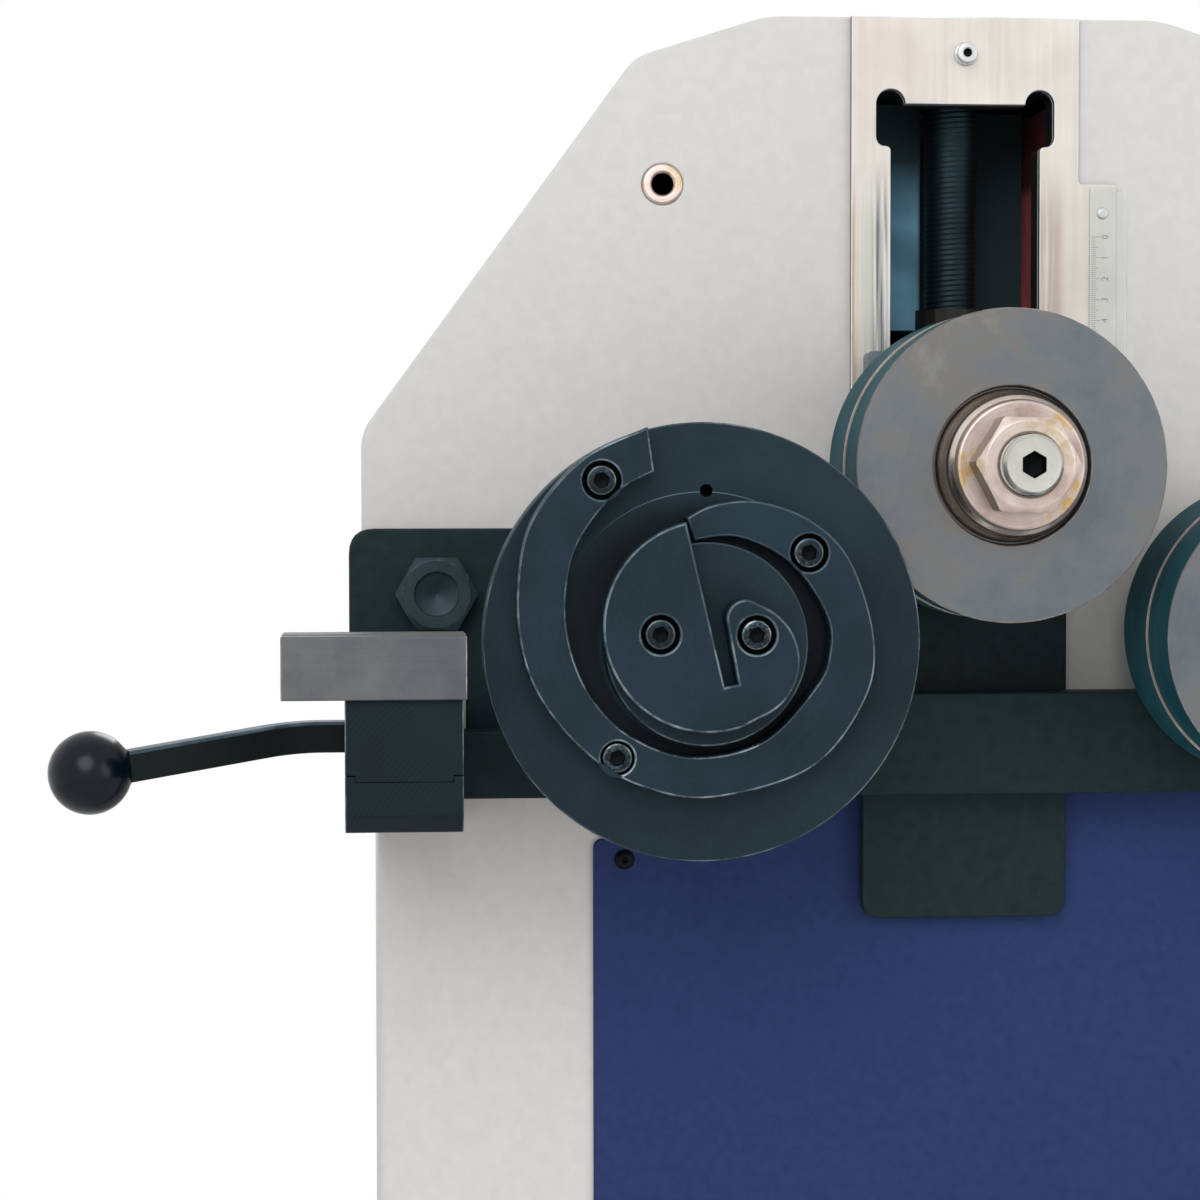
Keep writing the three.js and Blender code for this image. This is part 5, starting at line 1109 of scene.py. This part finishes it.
def spline(points, count):
    """A smooth line through (degrees, radius) points about the scroll's centre."""
    flat = [Vector(around(SCROLL_CENTRE, radius, [math.radians(angle)])[0]) for angle, radius in points]
    line = []
    for i in range(count + 1):
        place = i / count * (len(flat) - 1)
        k = min(int(place), len(flat) - 2)
        t = place - k
        p0, p1, p2, p3 = flat[max(k - 1, 0)], flat[k], flat[k + 1], flat[min(k + 2, len(flat) - 1)]
        v0, v1 = (p2 - p0) / 2, (p3 - p1) / 2
        cubic, square = 2 * p1 - 2 * p2 + v0 + v1, -3 * p1 + 3 * p2 - 2 * v0 - v1
        line.append(tuple(cubic * t ** 3 + square * t ** 2 + v0 * t + p1))
    return line


def hook_outline():
    line = [(-10.3, 52.5)]
    line += arc((-0.5, 8.2), 45.2, 104, 288, 72)
    line += arc((12.7, -6.7), 25.5, 291, 420, 52)
    line += arc((15.1, 11.2), 8.5, 75, 180, 20)
    line += [(11.7, -16.3), (6.1, -17.4), (0.2, 7.8)]
    return distinct([on_scroll(place) for place in line])


def sunk_screws(form, places, face, radii, depth=8.8):
    """Counterbores in a plate's face: the wall and the floor below each opening, in painted shade. Returns
    the openings.
    """
    for place, radius in zip(places, radii):
        wall, floor = radius - 0.01, face + depth
        form.turned([(wall, face + 0.5, 2), (wall, floor, 2), (0, floor, 2)], on_scroll(place), 48)
    return [circle(on_scroll(place), radius) for place, radius in zip(places, radii)]


def make_scroll_disc():
    """The disc with its boss in front and its long hub behind. Finishes: steel, edge, hole."""
    pin_hole, pin_radius, rim = on_scroll((1.5, 65.8)), 2.8, DISC_RADIUS - 1.5
    outside = from_face([(BORE, 31.85), (36, 31.85, 1), (36, 110, 1.5), (DISC_RADIUS, 110, 0.8)])
    outside += [(DISC_RADIUS, DISC_FACE, 0.7), (rim, DISC_FACE)]
    form = Form().turned(softened(outside), SCROLL_CENTRE, 192)
    openings = [circle(SCROLL_CENTRE, BOSS_RADIUS, 96), circle(pin_hole, pin_radius, 32)]
    form.flat([circle(SCROLL_CENTRE, rim, 192), *[wound(loop, False) for loop in openings]], DISC_FACE)
    depth = DISC_FACE + 10
    # The pin hole is lined with the third finish, painted shade
    form.turned([(pin_radius, DISC_FACE, 2), (pin_radius, depth, 2), (0, depth, 2)], pin_hole, 32)
    boss = [(BOSS_RADIUS, DISC_FACE), (BOSS_RADIUS, BOSS_FACE, 0.8), (0, BOSS_FACE)]
    form.turned(softened(boss, 0.8), SCROLL_CENTRE)
    form.turned(from_face([(BORE, 31.85), (BORE, 130.3), (0, 130.3)]), SCROLL_CENTRE, 64)
    form.show("scroll_disc", ("black_steel", BLACK_DISC, DISC_EDGE, HOLLOW_SHADE), body="scroll")


def make_scroll_band():
    """The raised band, with its counterbores. Finishes: steel, edge, bore."""
    form = Form()
    openings = sunk_screws(form, BAND_SCREWS, BOSS_FACE, (8.2, 7.3, 8.3))
    outline = spline(BAND_OUTER, 150) + spline(BAND_INNER, 120)
    form.plate(outline, BOSS_FACE, DISC_FACE - 0.05, openings, (0.9, 0.2))
    form.show("scroll_band", BLACK_PLATE, body="scroll")


def make_scroll_hook():
    """The hook in the band's middle, with the same finishes."""
    form = Form()
    openings = sunk_screws(form, HOOK_SCREWS, HOOK_FACE, (8.2, 8.2))
    form.plate(hook_outline(), HOOK_FACE, BOSS_FACE - 0.05, openings, (1.1, 0.2))
    form.show("scroll_hook", BLACK_PLATE, body="scroll")


def make_scroll_screws():
    for kind, places, face in (("band", BAND_SCREWS, BOSS_FACE), ("hook", HOOK_SCREWS, HOOK_FACE)):
        for i, place in enumerate(places, 1):
            form = socket_screw(on_scroll(place), face + 0.8)
            form.show(f"{kind}_screw_{i}", ("black_steel", SCREW, HOLLOW_SHADE, SCREW_RIM), body="scroll")


def make_scroll_shaft():
    shaft = softened(from_face([
        (0, -247), (SHAFT, -247, 1), (SHAFT, 18, 0.2), (27, 18, 0.8), (27, 31.8, 0.8),
        (SHAFT, 31.8, 0.2), (SHAFT, 130, 1), (0, 130),
    ]), 0.5)
    form = Form().turned(shaft, SCROLL_CENTRE)
    form.show("scroll_shaft", ("ground_steel", GROUND), body="scroll")


# Rod guide and its clamp lever

def guide_form(section, rounding=0.8, steps=2, left=GUIDE_X - 25, right=GUIDE_X + 25, edge=0.5):
    """A bar across the guide, whose section is given as (depth, height) corners."""
    outline = rounded([(FACE_Y - depth, height, rounding) for depth, height in section], steps)
    return Form().plate(outline, left, right, (), (edge, edge), "x")


def make_guide_post():
    form = guide_form([
        (GUIDE_FRONT, 944.9), (26.3, 944.9), (26.3, 952.8), (5.7, 952.8), (5.7, 942.5), (0.3, 942.5),
        (0.3, 977), (GUIDE_FRONT, 977),
    ])
    piece = form.show("guide_post", GUIDE_STEEL, body="guide")
    carve(piece, box_outline(GUIDE_X - 30, LEVER_PIVOT[0] + 10.6, 945.1, 985), FACE_Y - 63.6, FACE_Y - 50.4)


def make_guide_key():
    key = box_outline(GUIDE_X - 20.6, GUIDE_X + 20.6, 942.4, 947)
    form = Form().plate(key, FACE_Y - GUIDE_FRONT - 0.03, FACE_Y - 26.3, (), (0.03, 0.03), edge_finish=0)
    form.show("guide_key", GUIDE_STEEL, body="guide")


def make_guide_jaw():
    form = guide_form([
        (GUIDE_FRONT, 944.6), (GUIDE_FRONT, 927.7), (147.3, 920), (48, 920), (36, 908), (0.3, 908),
        (0.3, 931), (5.7, 931), (5.7, 920.7), (26.3, 920.7), (26.3, 944.6),
    ])
    piece = form.show("guide_jaw", GUIDE_STEEL, body="guide")
    carve(piece, box_outline(GUIDE_X - 20.9, GUIDE_X + 20.9, 942.1, 946), FACE_Y - 156, FACE_Y - 6)


def make_guide_block():
    form = guide_form([
        (160, 977.05), (120, 977.05), (120, 1004.05), (142.5, 1004.05), (142.5, 985.05), (150.5, 985.05),
        (150.5, 1004.05), (160, 1004.05),
    ], 1, 3, -321.6, -243.6, 0.6)
    worn = scraped_steel("block_edge", (112, 112, 114), (172, 170, 170), grain=90)
    form.show("guide_block", ("milled_steel", GUIDE_GREY, worn), body="guide")


def lever_path():
    """The lever's middle line, from its eye round the bend and down to the knob, and its last direction."""
    start = Vector((LEVER_PIVOT[0], FACE_Y - LEVER_DEPTH, 953.6))
    bend = Vector((-319, FACE_Y - LEVER_DEPTH, 953.6))
    arm = (KNOB - bend).normalized()
    curve = curved(bend + Vector((14, 0, 0)), bend, bend + arm * 14, 8)
    return [start, *curve, KNOB - arm * 16.5], arm


def make_lever():
    path, arm = lever_path()
    section = box_outline(-6, 6, -7.1, 7.1, 1.6, 4)
    form = Form()
    rings = []
    for i, point in enumerate(path):
        ahead = (path[min(i + 1, len(path) - 1)] - path[max(i - 1, 0)]).normalized()
        across = Vector((-ahead.y, ahead.x, 0)).normalized()
        rings.append(form.ring([tuple(point + across * a + Vector((0, 0, b))) for a, b in section]))
    # The top faces take the second finish, a painted highlight from the light above
    worn = [int(b > 5.4) for _, b in section]
    for a, b in zip(rings, rings[1:]):
        for i, _ in enumerate(a):
            form.face((a[i - 1], a[i], b[i], b[i - 1]), worn[i] & worn[i - 1])
    form.cap([rings[0]])
    form.cap([rings[-1]])
    for radius, front, back in ((10, LEVER_DEPTH + 6, LEVER_DEPTH - 6), (7, 120, 30)):
        eye = from_face([(0, front), (radius, front), (radius, back), (0, back)])
        form.turned(softened(eye, 0.8), LEVER_PIVOT, 48)
    form.show("lever", ("black_steel", LEVER, WEAR_AND_HIGHLIGHT), "clamp_lever", "lever")
    make_knob(arm)


def make_knob(arm):
    radius = 18.5
    angles = [math.radians(t) for t in range(30, 180, 4)]
    ball = [(radius * math.sin(a), -radius * math.cos(a)) for a in angles]
    form = Form().turned([(0, -16.2), (8.2, -16.2), (8.6, -16.6), *ball, (0, radius)])
    turn = Vector((0, 1, 0)).rotation_difference(arm).to_matrix()
    form.moved(lambda *point: tuple(KNOB + turn @ Vector(point)))
    form.show("knob", ("black_plastic", black_plastic()), "lever_knob", "lever")


def paint_inner_nodes():
    """Finishes for the solids that stay as they are, inside the head and the cabinet, with their bevels."""
    inside = milled_steel("inner_steel", (92, 104, 114), (0, 600), 3, 0.2)
    black = blackened_steel("inner_black", (46, 56, 62), (0, 1100))
    carriage = milled_steel("carriage_steel", (116, 124, 131), (0, 600), 2, 0.2)
    for node, finish, bevel in (
        ("head_rear_plate", inside, 1), ("spindle_top_block", black, 1), ("carriage", carriage, 0.6),
        ("spindle_nut", BRONZE, 0), ("carriage_rail_left", inside, 1),
        ("carriage_rail_right", red_primer(), 1), ("gearbox", MOTOR, 2), ("drive_motor", MOTOR, 1),
        ("control_box", LIGHT, 2), ("drive_pinion", GROUND, 0.4), ("scroll_gear", GROUND, 0.4),
        ("lower_right_gear", GROUND, 0.4),
    ):
        paint(node, finish, bevel)


# Studio: the lamps and their target are placed in metres

WORLD_LIGHT = 0.68
TARGET = Vector((-0.15, -0.35, 1.05))
LAMPS = {
    "key": ((-0.7, -2.4, 2.25), 1.7, 28),
    "fill": ((2.0, -2.2, 1.6), 2.0, 14),
    "back": ((0.4, 2.4, 2.6), 1.8, 30),
}


def make_floor():
    reach = 2400
    form = Form()
    form.face(form.ring([(x, y, -0.5) for x, y in box_outline(-reach, reach, -reach, reach)]), 0)
    plain = Finish("floor_paint", rough=0.9, gloss=0.2)
    plain.set(color=plain.mix(plain.span(plain.noise(3), 0.3, 0.7), (236, 236, 235), (240, 240, 239)))
    placed("floor", form.mesh("floor", [plain.material]))


def make_world():
    """Even light from all round, which the camera and the reflections see as white."""
    world = bpy.data.worlds.new("studio")
    world.use_nodes = True
    bpy.context.scene.world = world
    sky = Nodes(world.node_tree)
    rays = sky.node("ShaderNodeLightPath").outputs
    reflected = sky.maths("MAXIMUM", rays["Is Glossy Ray"], rays["Is Transmission Ray"])
    seen = sky.maths("MAXIMUM", rays["Is Camera Ray"], reflected)
    background = world.node_tree.nodes["Background"].inputs
    sky.feed(background["Color"], (255, 255, 255))
    sky.feed(background["Strength"], sky.span(seen, 0, 1, WORLD_LIGHT))


def make_lamps():
    for name, (place, size, power) in LAMPS.items():
        lamp = bpy.data.lights.new(name, "AREA")
        lamp.shape = "DISK"
        lamp.size = size
        lamp.energy = power
        holder = placed(name, lamp)
        holder.location = place
        holder.rotation_euler = (TARGET - Vector(place)).to_track_quat("-Z", "Y").to_euler()


def make_camera():
    yaw, pitch, roll = map(math.radians, (4.585, -2.18, 0.07))
    camera = bpy.data.cameras.new("camera")
    camera.lens = camera.sensor_width * 2880 / 1200
    holder = placed("camera", camera)
    ahead = Matrix.Rotation(-yaw, 3, "Z") @ Matrix.Rotation(math.pi / 2 + pitch, 3, "X")
    holder.rotation_euler = (ahead @ Matrix.Rotation(-roll, 3, "Z")).to_euler()
    holder.location = Vector((-284.5, -1646.0, 1064.9)) * MM
    bpy.context.scene.camera = holder


bpy.context.scene.view_settings.view_transform = "Standard"
make_camera()
make_floor()
make_world()
make_lamps()
make_base_plate()
make_cabinet_shell()
make_deck()
make_front_panel()
make_service_panel()
make_front_plate()
make_head_shell()
make_back_cover()
make_head_screws()
make_bushes()
make_slide_plate()
make_top_bolt()
make_ruler()
make_carrier_plate()
make_carrier_bar()
make_carrier_bolts()
make_bearings()
make_roller_set("upper", "top_roller", UPPER_CENTRE, 182, -2)
make_roller_set("lower_right", "lower_right", RIGHT_CENTRE, 247, 11)
make_spindle()
make_web()
make_scroll_disc()
make_scroll_band()
make_scroll_hook()
make_scroll_screws()
make_scroll_shaft()
make_guide_post()
make_guide_key()
make_guide_jaw()
make_guide_block()
make_lever()
paint_inner_nodes()
